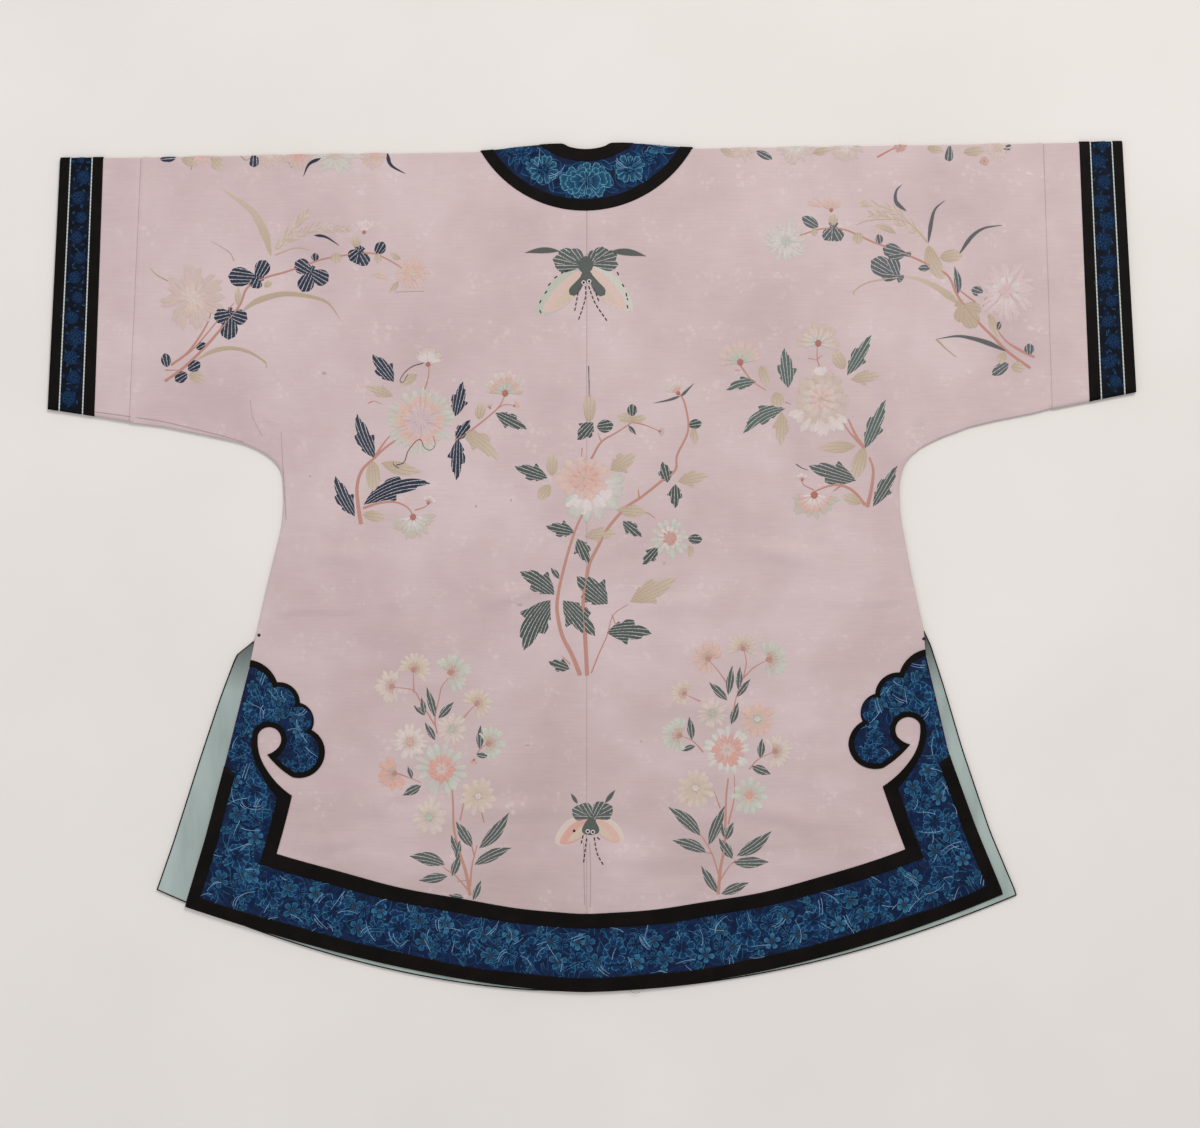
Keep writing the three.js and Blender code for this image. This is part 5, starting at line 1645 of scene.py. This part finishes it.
# Lower left and lower right: bushy sprays of small asters on thin stems, with narrow dark green leaves.
LOWER_LEFT = {
    "stems": (
        ("coral", (
            (4.2, ((470, 895), (466, 873), (460, 853), (454, 829), (453, 804), (452, 790))),
            (2.6, ((470, 886), (472, 865), (477, 845))), (2, ((474, 855), (470, 841), (460, 825))),
            (2, ((468, 890), (456, 876), (446, 869), (440, 863))),
            (2, ((437, 733), (435, 718), (439, 698), (442, 686), (451, 675))),
            (2, ((436, 727), (421, 702), (413, 690), (395, 687))), (1.8, ((414, 692), (413, 671))),
            (1.8, ((464, 717), (470, 710), (477, 703))), (1.8, ((477, 753), (482, 747), (489, 743))),
            (1.8, ((397, 773), (411, 778), (421, 782))), (2, ((460, 820), (463, 805), (464, 792))),
            (1.8, ((484, 822), (481, 810), (479, 804))),
        )),
    ),
    "leaves": (
        ("lance", "sage", (
            (431, 702, 39, 9, 344), (446, 710, 27, 9, 43), (423, 706, 22, 7, 350), (419, 710, 18, 6, 312),
            (430, 731, 25, 8, 330), (480, 737, 29, 9, 2),
        )),
        ("oval", "sage", ((482, 755, 14, 7, 100),)),
        ("lance", "sage", (
            (410, 772, 16, 6, 340), (412, 790, 25, 11, 242), (464, 834, 37, 13, 328),
            (494, 830, 56, 15, 40, 0.05), (493, 856, 49, 14, 66, -0.04), (455, 845, 27, 9, 338),
            (458, 849, 22, 8, 12), (456, 865, 28, 10, 20), (427, 860, 44, 16, 284, 0.05),
            (433, 878, 35, 12, 262), (477, 890, 26, 8, 22), (456, 896, 19, 6, 280),
        )),
    ),
    "flowers": (
        ("blossom", (
            (392, 686, 21, "cream", {"heading": 272, "spread": 225}),
            (414, 669, 20, "yellow", {"heading": 22, "spread": 235}),
            (451, 672, 24, "mint", {"tip": "mint_pale", "heading": 58, "spread": 230}),
            (477, 703, 19, "yellow", {"tip": "cream", "heading": 48, "spread": 240}),
            (452, 729, 19, "cream", {"heart": "mint"}), (410, 742, 22, "white", {"heart": "peach"}),
            (489, 743, 21, "mint", {"tip": "mint_pale", "heading": 72, "spread": 220}),
            (394, 773, 21, "salmon", {"tip": "peach", "heading": 245, "spread": 215}),
            (478, 796, 23, "yellow", {"heart": "cream", "count": 12, "tip": "cream"}),
            (429, 817, 23, "cream", {"heart": "mint", "count": 12}),
        )),
        ("aster", ((441.5, 769, 32, 18, "mint", "salmon", "cream"),)),
        ("fan", ((474, 759, 4, 190, "peach", "peach", "coral", {"spread": 90}),)),
    ),
}
LOWER_RIGHT = {
    "stems": (
        ("coral", (
            (4.2, ((718, 894), (720, 870), (724, 848), (725, 826), (726, 797), (728, 778))),
            (2, ((728, 824), (734, 797), (734, 775))), (1.8, ((720, 808), (714, 791))),
            (2, ((719, 876), (712, 854), (703, 838), (699, 833))), (1.8, ((711, 853), (704, 852))),
            (2, ((720, 880), (728, 867), (736, 859))), (1.8, ((726, 682), (719, 672), (709, 660))),
            (1.8, ((743, 678), (746, 663), (744, 650))), (1.8, ((743, 678), (754, 667), (769, 659))),
            (2, ((733, 712), (736, 697), (743, 678))), (1.6, ((700, 701), (691, 697), (685, 694))),
            (1.8, ((703, 752), (693, 741), (682, 736))), (1.8, ((749, 769), (758, 759), (775, 751))),
        )),
    ),
    "leaves": (
        ("lance", "sage", (
            (730, 680, 36, 9, 8), (739, 678, 28, 8, 4), (718, 691, 31, 10, 315), (743, 688, 28, 8, 38),
            (734.5, 713, 28, 9, 17), (690.5, 728, 28, 9, 353), (688, 748, 18, 7, 250),
            (761, 748, 24, 9, 5), (761, 770, 25, 11, 113), (684, 821, 52, 15, 312, 0.05),
            (716.5, 825, 51, 13, 22), (689, 846, 43, 14, 290, 0.05), (729, 831, 24, 9, 25),
            (723, 830, 18, 7, 348), (725.5, 848, 30, 12, 326), (754, 843, 51, 15, 55, 0.05),
            (751, 862, 43, 14, 90), (709, 879, 38, 11, 329), (735, 888, 36, 12, 68),
        )),
    ),
    "flowers": (
        ("blossom", (
            (708, 658, 21, "peach", {"tip": "peach_pale", "heading": 300, "spread": 250}),
            (743, 648, 19, "yellow", {"heading": 2, "spread": 215}),
            (769, 659, 23, "mint", {"tip": "mint_pale", "heading": 72, "spread": 200}),
            (684, 693, 17, "yellow", {"heading": 272, "spread": 215}),
            (679, 735, 22, "mint", {"tip": "mint_pale", "heading": 270, "spread": 200}),
            (712, 713, 19, "cream", {"heart": "mint"}),
            (757, 719, 23, "peach", {"heart": "mint_pale", "tip": "peach_pale", "count": 11}),
            (775, 751, 21, "cream", {"heading": 78, "spread": 220}),
            (695, 788, 25, "yellow", {"heart": "cream", "count": 13, "tip": "cream"}),
            (749, 795, 23, "mint", {"heart": "salmon", "count": 11, "tip": "mint_pale"}),
        )),
        ("aster", ((727, 750, 29, 21, "white", "salmon", "cream"),)),
        ("fan", ((736, 888, 3, 60, "violet", "violet", "violet", {"spread": 60}),)),
    ),
}

# Along the shoulder: the tops of the front's sprays, which run over the fold on to the back.
SHOULDER = {
    "stems": (
        ("coral", (
            (2.6, ((877, 157), (890, 150), (903, 144))), (2.2, ((286, 158), (292, 168))),
            (2.2, ((193, 158), (191, 170))),
        )),
    ),
    "blades": (
        ("navy", "navy", (
            (4.4, ((321, 158), (309, 164), (303, 177))), (4.8, ((387, 153), (391, 165), (406, 174))),
        )),
        ("khaki_deep", "khaki", ((2.6, ((240, 155), (246, 160), (252, 156))),)),
    ),
    "leaves": (
        ("oval", "navy", ((168, 158, 20, 10, 85),)),
        ("oval", "khaki", ((190, 161, 22, 13, 110), (216, 163, 20, 15, 140))),
        ("petal", "navy", ((254, 158, 22, 15, 182),)), ("oval", "grey", ((764, 155, 22, 9, 118),)),
        ("petal", "grey", ((949, 153, 20, 13, 184),)),
        ("oval", "khaki", ((974, 151, 26, 12, 85), (935, 149, 20, 10, 100))),
        ("oval", "grey", ((1006, 148, 14, 9, 60),)), ("oval", "khaki", ((728, 152, 22, 10, 120),)),
        ("lance", "khaki", ((822, 151, 24, 10, 80),)),
    ),
    "flowers": (
        ("chrysanthemum", (
            (203, 152, 17, "peach_pale", "peach", "khaki_pale"),
            (270, 156, 15, "peach_pale", "khaki_pale", "cream"),
            (298, 154, 20, "khaki_pale", "peach", "salmon"),
            (335, 154, 27, "mint_pale", "mint_pale", "khaki_pale"),
            (374, 154, 18, "peach_pale", "khaki_pale", "peach"),
            (744, 147, 17, "peach_pale", "khaki_pale", "cream"),
            (795, 145, 22, "khaki_pale", "white", "mint_pale"),
            (846, 145, 21, "khaki_pale", "cream", "white"),
        )),
        ("blossom", ((900, 146, 9, "coral", {"tip": "salmon"}),)),
        ("chrysanthemum", ((997, 148, 16, "cream", "peach_pale", "khaki_pale"),)),
        ("blossom", ((984, 161, 6, "peach", {"tip": "coral"}),)),
    ),
}


def dashes(work, points, width=1.3, dash=4.0, gap=2.2, dye="ink"):
    """A line of running stitches through places in the photograph."""
    line = smooth_line([cloth_place(*point) for point in points], 12)
    run = np.concatenate([[0], np.cumsum(np.hypot(*np.diff(line, axis=0).T))])
    for start in np.arange(0, run[-1] - dash / 2, dash + gap):
        at = np.linspace(start, min(start + dash, run[-1]), 4)
        stitch(work, np.stack([np.interp(at, run, line[:, k]) for k in (0, 1)], 1), width / 2, dye, columns=3,
               lift=0.6)


# A wing's three colours from its outer edge to the body, each over the last: length, width, distance outwards
WING_BANDS = ((1.0, 1.0, 0.08), (0.92, 0.72, -0.06), (0.74, 0.38, -0.22))


def wing(work, px, py, length, width, heading, side, dyes):
    """A wing from its root, with a pale edge on its outer side and two more colours towards the body."""
    root = cloth_place(px, py)
    outwards = towards(heading + 90 * side)
    for k, (long, wide, shift) in enumerate(WING_BANDS):
        middle = root + towards(heading) * length * long / 2 + outwards * width * shift
        leaf(work, middle, length * long, width * wide, heading, "oval", -0.05 * side, rows=16, base=dyes[k],
             columns=7, lift=0.04 + 0.16 * k, height=0.2, worn=0.25)


def eye(work, px, py):
    place = cloth_place(px, py)
    leaf(work, place, 5.4, 5.4, 0, "oval", base="white", lift=0.95, height=0.3)
    leaf(work, place, 3.2, 3.2, 0, "oval", base="ink", lift=1.25, height=0.3)


def sew_butterflies():
    """Two butterflies on the centre-back seam, the upper one the larger."""
    work = new_work()
    wing(work, 581, 269, 75, 33, 224, 1, ("mint", "peach_pale", "yellow"))
    wing(work, 591, 266, 73, 31, 139, -1, ("mint_pale", "peach_pale", "yellow"))
    wing(work, 587, 817, 49, 27, 229, 1, ("cream", "salmon", "yellow"))
    wing(work, 597, 818, 43, 24, 134, -1, ("cream", "peach", "yellow"))
    lobed_leaf(work, 583, 266, ((270, 34, 12), (284, 38, 15), (302, 35, 16), (322, 26, 15)), "sage")
    lobed_leaf(work, 590, 263, ((30, 17, 13), (54, 27, 16), (74, 34, 15), (94, 34, 14)), "sage")
    lobed_leaf(work, 590, 817, ((272, 20, 11), (296, 24, 14), (326, 20, 14)), "sage")
    lobed_leaf(work, 595, 816, ((30, 20, 14), (62, 24, 14), (86, 20, 11)), "sage")
    for values in (
        (542, 252, 42, 7, 268, "lance", 0.05), (628, 254, 44, 8, 98, "lance", -0.05),
        (585.5, 265, 22, 18, 180, "oval", 0), (576.5, 284, 30, 15, 215, "petal", -0.08),
        (597.5, 284, 32, 15, 146, "petal", 0.08), (586.5, 276, 14, 14, 180, "oval", 0),
        (574, 798, 15, 4, 327, "lance", 0), (610, 796, 20, 5, 38, "lance", 0),
        (590.5, 826, 21, 27, 180, "petal", 0),
    ):
        px, py, length, width, heading, shape, bend = values
        leaf(work, cloth_place(px, py), length, width, heading, shape, bend, base="sage", lift=0.62)
    for px, py in ((583.5, 282.5), (589, 281.3), (587.6, 831), (592.7, 831.6)):
        eye(work, px, py)
    leaf(work, cloth_place(574, 830.5), 3.6, 3.6, 0, "oval", base="ink", lift=0.4)
    for points in (
        ((579, 287), (574.5, 311)), ((585.5, 286), (585, 299), (578, 321)),
        ((588.5, 286), (595, 303), (607, 321)),
        ((594, 288), (599, 302)), ((586.5, 838), (583.5, 862)), ((594, 837), (597, 853), (604, 866)),
        ((583, 835), (581, 843)), ((597, 837), (602, 841)),
        ((568, 270), (561, 273)), ((557, 276), (553, 279)), ((550.5, 283), (546.5, 287)),
        ((547, 291), (543, 295)),
        ((541, 300), (538, 306)), ((539.5, 310), (542, 315)), ((617, 272), (620, 278)),
        ((622, 284), (625.5, 289)), ((626, 293), (627.5, 300)), ((627, 305), (628.5, 311)),
    ):
        dashes(work, points)
    return sew_on(work, "embroidery_butterflies", floss_finish, "silk", FLOSS_BASE_W)


# Wear: knots of black thread at the slit tops, small stains, a few loose threads, and the seam of the
# under-edge of the left sleeve, where the front shows a little. All are small marks on the silk.
WEAR_SPOTS = (
    (258.8, 635, 4.2, 4.2, "ink"), (923.6, 638.6, 4.2, 4.2, "ink"), (527, 745, 7, 2.4, "stain"),
    (641, 741, 3, 3, "stain"), (324, 373, 6, 4, "stain"), (785, 433, 4, 3, "stain"),
    (813, 383, 4, 3, "stain"),
    (476, 506, 2.4, 4, "stain"), (511, 500, 2, 4, "stain"), (664, 563, 3, 4, "stain"),
    (520, 604, 10, 4, "stain"),
    (310, 476, 2.4, 3, "stain"), (378, 392, 3, 2, "coral_deep"), (371, 402, 2.6, 2, "coral_deep"),
)
WEAR_LINES = (
    ("seam", 1.3, ((94, 411.6), (129, 416.4), (160, 421), (183, 426), (219, 435), (244, 442))),
    ("seam", 1.0, ((589.6, 842), (590.4, 870), (590, 907))),
    ("seam", 0.9, ((583.5, 842), (584, 880), (584.6, 905))),
    ("stain", 0.8, ((630, 990), (634, 993), (640, 992))),
    ("grey", 0.7, ((457, 881), (464, 880.4), (471, 879.4))),
    ("stain", 1.0, ((395, 292), (406, 291.6), (424, 291))),
    ("seam", 0.8, ((281, 432), (283, 470), (286, 520))),
    ("seam", 0.8, ((250, 400), (253, 418), (262, 436))),
)


def sew_wear():
    work = new_work()
    for px, py, width, height, dye in WEAR_SPOTS:
        worn = 0.0 if dye == "ink" else 0.45
        leaf(work, cloth_place(px, py), height, width, 0, "oval", base=dye, height=0.1, worn=worn)
    for dye, width, points in WEAR_LINES:
        line = smooth_line([cloth_place(*point) for point in points], 7)
        stitch(work, line, width / 2, dye, columns=3, height=0.08, worn=0.25)
    return sew_on(work, "wear_marks", floss_finish, "silk", FLOSS_BASE_W)


SPRAYS = {
    "left_sleeve": LEFT_SLEEVE, "right_sleeve": RIGHT_SLEEVE, "left_middle": LEFT_MIDDLE,
    "right_middle": RIGHT_MIDDLE, "centre": CENTRE, "lower_left": LOWER_LEFT, "lower_right": LOWER_RIGHT,
    "shoulder": SHOULDER,
}
for spray_name, spray_rows in SPRAYS.items():
    sew_spray(spray_name, spray_rows)
sew_butterflies()
sew_wear()

# Tightly twisted dark floss, less glossy than the laid floss
band_floss_finish = floss_material("floss_band", 1.1, 0.0, 0.08)

# Flowers of the blue bands: peonies, small blossoms, leaves and tendrils, worked edge to edge in blues
# on the ribbon, every petal with a paler rim. They are set along each band's middle and turn with it.
BAND_STEP = 27  # mm between the stations of the border's pattern
BAND_LEAF_STEP = 12  # mm between the leaves that fill its ground
PETAL_DYES = (
    ("blue_deep", "blue_mid", "teal_pale"), ("blue", "blue_mid", "teal_pale"), ("blue_deep", "blue", "teal")
)


def rosette(work, place, radius, count=9, heading=0.0, dyes=PETAL_DYES):
    """A peony seen from above: three rings of rimmed petals and a knot of small ones."""
    rings = ((0.42, 1.0, 0.66, count), (0.2, 0.72, 0.56, count - 2), (0.05, 0.42, 0.42, count - 4))
    for k, (start, stop, width, petals_in_ring) in enumerate(rings):
        base, tip, rim = dyes[k % len(dyes)]
        ring(work, place, radius * start, radius * stop, petals_in_ring, radius * width, base, tip, rim=rim,
             heading=heading, turn=20 * k, lift=0.05 + 0.09 * k, height=0.12, rows=7)


def small_blossom(work, place, radius, petal="teal", heart="moss"):
    ring(work, place, radius * 0.15, radius, 5, radius * 0.75, "blue", petal, rim="teal_pale", lift=0.1,
         height=0.12, turn=random.uniform(0, 70), rows=7)
    ring(work, place, 0, radius * 0.28, 4, radius * 0.3, heart, "violet", lift=0.26, height=0.1, worn=(0, 0))


def band_leaf(work, place, length, heading, tip="blue", rims=("blue_mid", "teal")):
    leaf(work, place, length, length * random.uniform(0.34, 0.5), heading, "oval",
         random.uniform(-0.1, 0.1), rows=7,
         base="blue_deep", tip=tip, rim=rims[random.integers(len(rims))], lift=0.06, height=0.1, columns=4)


def tendril(work, place, length, heading, dye="frost", width=0.7, turn=30):
    """A thin curling line: its direction turns steadily along it."""
    u = np.linspace(0, 1, 9)
    steps = np.array([towards(heading + turn * share) for share in u]) * length / 8
    line = place + np.cumsum(steps, axis=0) - steps.sum(0) / 2
    stitch(work, line, width / 2 * (1 - 0.5 * u), dye, columns=3, lift=0.28, height=0.16)


def keep_patches(work, allowed):
    """Drops the patches that reach a place where allowed, a function of points on the cut, is false."""
    kept = new_work()
    for k, faces in enumerate(work["faces"]):
        if np.all(allowed(work["flat"][k])):
            for key in ("flat", "lift", "dye", "thread", "veins"):
                kept[key].append(work[key][k])
            kept["faces"].append(faces - faces.min() + kept["count"])
            kept["count"] += len(work["flat"][k])
    return kept


def within(points, outline):
    """Whether each point lies inside a closed line: a line to its right crosses it an odd number of times."""
    start, stop = outline, np.roll(outline, -1, axis=0)
    x, y = points[:, :1], points[:, 1:]
    between = (start[:, 1] > y) != (stop[:, 1] > y)
    slope = (stop[:, 0] - start[:, 0]) / np.where(stop[:, 1] == start[:, 1], 1, stop[:, 1] - start[:, 1])
    return np.sum(between & (x < start[:, 0] + slope * (y - start[:, 1])), axis=1) % 2 == 1


def band_station(work, place, heading, number, reach):
    """One stretch of a band's pattern: a peony or a pair of blossoms, with leaves and tendrils round it."""
    ahead, aside = towards(heading), towards(heading + 90)
    for k in range(4):
        turn = heading + 90 * k + random.uniform(15, 75)
        band_leaf(work, place + towards(turn) * reach * random.uniform(0.55, 0.9), reach * 0.75, turn)
    if number % 3 == 0:
        rosette(work, place, reach * 0.82, 10, heading)
    elif number % 3 == 1:
        for offset in (-0.45, 0.45):
            small_blossom(work, place + aside * reach * offset + ahead * reach * offset * 0.5, reach * 0.44)
        rosette(work, place - aside * reach * 0.4 + ahead * reach * 0.3, reach * 0.42, 7, heading)
    else:
        rosette(work, place + aside * reach * 0.3, reach * 0.6, 8, heading)
        small_blossom(work, place - aside * reach * 0.55, reach * 0.4, "teal_pale")
    for dye in ("frost", "teal_pale"):
        spot = place + ahead * random.uniform(-0.7, 0.7) * reach + aside * random.uniform(-0.95, 0.95) * reach
        course, turn = random.uniform(0, 360), random.uniform(-70, 70)
        for offset in (-1.8, 1.6) if number % 4 == 0 else (0,):
            beside = spot + towards(course + 90) * offset
            tendril(work, beside, random.uniform(10, 0.8 * reach + 10), course, dye, turn=turn)


def along_line(line, step):
    """Places every step along a line, with the heading there."""
    run = np.concatenate([[0], np.cumsum(np.hypot(*np.diff(line, axis=0).T))])
    at = np.arange(step * 0.4, run[-1], step)
    places = np.stack([np.interp(at, run, line[:, k]) for k in (0, 1)], 1)
    ahead = np.stack([np.interp(at + 2, run, line[:, k]) for k in (0, 1)], 1) - places
    return places, np.degrees(np.arctan2(ahead[:, 0], -ahead[:, 1]))


# Stations in the cloud heads, whose shape leaves no plain middle line: d, t, reach
HEAD_STATIONS = (
    (393, 662, 25), (359, 674, 20), (343, 704, 20), (337, 728, 17), (395, 632, 17), (409, 690, 16),
    (416, 716, 17),
    (374, 648, 17), (412, 744, 21), (358, 738, 14), (402, 612, 10), (404, 672, 18), (385, 680, 16),
    (372, 640, 12), (350, 655, 13), (337, 690, 14), (345, 670, 12), (360, 650, 11), (330, 742, 12),
    (424, 770, 14),
)
HALF_RIBBON = (BORDER["ribbon"] - BORDER["outer"]) / 2 * (BORDER["slit"] + BORDER["hem"]) / 2
for side in SIDES:
    border_work = new_work()
    band_middle = (BORDER["outer"] + BORDER["ribbon"]) / 2
    for offset in (-0.26, -0.13, 0, 0.13, 0.26):
        line = border_line(side, band_middle + offset, 735) * [side["sign"], 1]
        for place, heading in zip(*along_line(line, BAND_LEAF_STEP)):
            spot = place + random.uniform(-4, 4, 2)
            band_leaf(border_work, spot, random.uniform(12, 21), random.uniform(0, 360))
    for offset, start_t in ((0, 752), (-0.2, 756), (0.2, 775)):
        line = border_line(side, band_middle + offset, start_t) * [side["sign"], 1]
        step = BAND_STEP if offset == 0 else BAND_STEP * 1.45
        reach = HALF_RIBBON * (0.92 if offset == 0 else 0.42)
        for k, (place, heading) in enumerate(zip(*along_line(line, step))):
            band_station(border_work, place, heading, k + (side is RIGHT), reach)
    for spot in random.uniform((316, 604), (428, 762), (170, 2)) * [side["sign"], 1]:
        band_leaf(border_work, spot, random.uniform(7, 14), random.uniform(0, 360))
    for k, (d, t, reach) in enumerate(HEAD_STATIONS):
        across = side["sign"] * (HEAD_PIVOT_D + (d - HEAD_PIVOT_D) * side["head_stretch"])
        band_station(border_work, np.array([across, t]), 40 * k, k, reach)
    pink_line = pink_side(side)
    hem_line = border_line(side, 0.01, pink_line[0, 1])
    border_outline = np.concatenate(
        [pink_line, [[-6, pink_line[-1, 1]], [-6, hem_line[-1, 1]]], hem_line[::-1]]
    )
    border_outline = border_outline * [side["sign"], 1]
    border_work = keep_patches(border_work, lambda points: within(points, border_outline))
    name = "back_border_flowers_" + side["name"]
    sew_on(border_work, name, band_floss_finish, "ribbon", RIBBON_HIGH - MIDDLE_Z)

# The neck's ribbon has one great peony at the middle of the back and smaller ones round the ring.
NECK_RIBBON_W = TRIM_W[0] + 0.8
neck_work = new_work()
NECK_MIDDLE_RADIUS = 110.5
NECK_DYES = (
    ("blue", "teal", "teal_bright"), ("blue_mid", "teal", "teal_bright"), ("blue", "teal", "teal_bright")
)
for radius in (97, 124, 111):
    for angle in np.arange(3, 172, 5.5):
        for sign in (-1, 1):
            place = np.array([0, NECK_CENTRE_T]) + towards(180 - sign * angle) * (
                radius + random.uniform(-3, 3)
            )
            band_leaf(
                neck_work, place, random.uniform(13, 22), random.uniform(0, 360), "blue_mid",
                ("teal", "teal_pale")
            )
for k, angle in enumerate((28, 42, 56, 70, 84, 98, 112, 126, 140, 154)):
    for sign in (-1, 1):
        place = np.array([0, NECK_CENTRE_T]) + towards(180 - sign * angle) * NECK_MIDDLE_RADIUS
        band_station(neck_work, place, sign * (90 + angle), (0, 2, 1)[k % 3], 22)
        if k % 3 == 0:
            ring(neck_work, place, 7, 18, 11, 9, "blue", "teal", rim="teal_bright", lift=0.2, height=0.12)
            rosette(neck_work, place, 12, 8, dyes=NECK_DYES)
centre_peony = np.array([0.0, NECK_CENTRE_T + NECK_MIDDLE_RADIUS + 0.5])
for start, stop, count, width, lift in ((17, 33, 19, 11, 0.14), (11, 26, 16, 10, 0.22), (6, 19, 13, 9, 0.3)):
    ring(neck_work, centre_peony, start, stop, count, width, "blue", "teal", rim="teal_bright", squash=0.64,
         lift=lift, height=0.12, rows=7)
for place in ((-8, -1), (8, -1)):
    rosette(neck_work, centre_peony + place, 8, 8, dyes=NECK_DYES)
neck_work = keep_patches(
    neck_work,
    lambda points: np.abs(np.hypot(points[:, 0], points[:, 1] - NECK_CENTRE_T) - NECK_MIDDLE_RADIUS) < 33
)
sew_on(neck_work, "neck_flowers", band_floss_finish, "ribbon", NECK_RIBBON_W)

# The cuffs' ribbon repeats small blue roundels and scrolls down both layers.
CUFF_DYES = (
    ("blue_deep", "blue", "blue_mid"), ("blue_deep", "blue_deep", "teal"), ("blue_deep", "blue", "teal")
)
CUFF_STEP = 24
CUFF_RIBBON_W = TRIM_W[0] + 0.6
cuff_middle = (CUFF_BANDS[2]["from"] + CUFF_BANDS[2]["to"]) / 2
for side in SIDES:
    cuff_work = new_work()
    for k, t in enumerate(np.arange(-288, 292, CUFF_STEP)):
        d = mouth_d(side, abs(t) / 301) - cuff_middle
        place = np.array([side["sign"] * (d + 2.5 * (-1) ** k), t])
        rosette(cuff_work, place, random.uniform(7, 10.5), 9, heading=37 * k, dyes=CUFF_DYES)
        for turn in range(0, 12, 2):
            spot = place + towards(30 * turn + 20 * k) * random.uniform(9, 12.5)
            leaf(cuff_work, spot, random.uniform(4, 7), 2.2, random.uniform(0, 360), "lance", rows=5,
                 base="blue", tip="blue_mid", columns=3, lift=0.06, height=0.1)
            tendril(
                cuff_work, spot, 5, random.uniform(0, 360), "teal" if turn % 4 == 0 else "blue_mid", 0.8, 70
            )
    sew_on(cuff_work, "cuff_flowers_" + side["name"], band_floss_finish, "ribbon", CUFF_RIBBON_W)
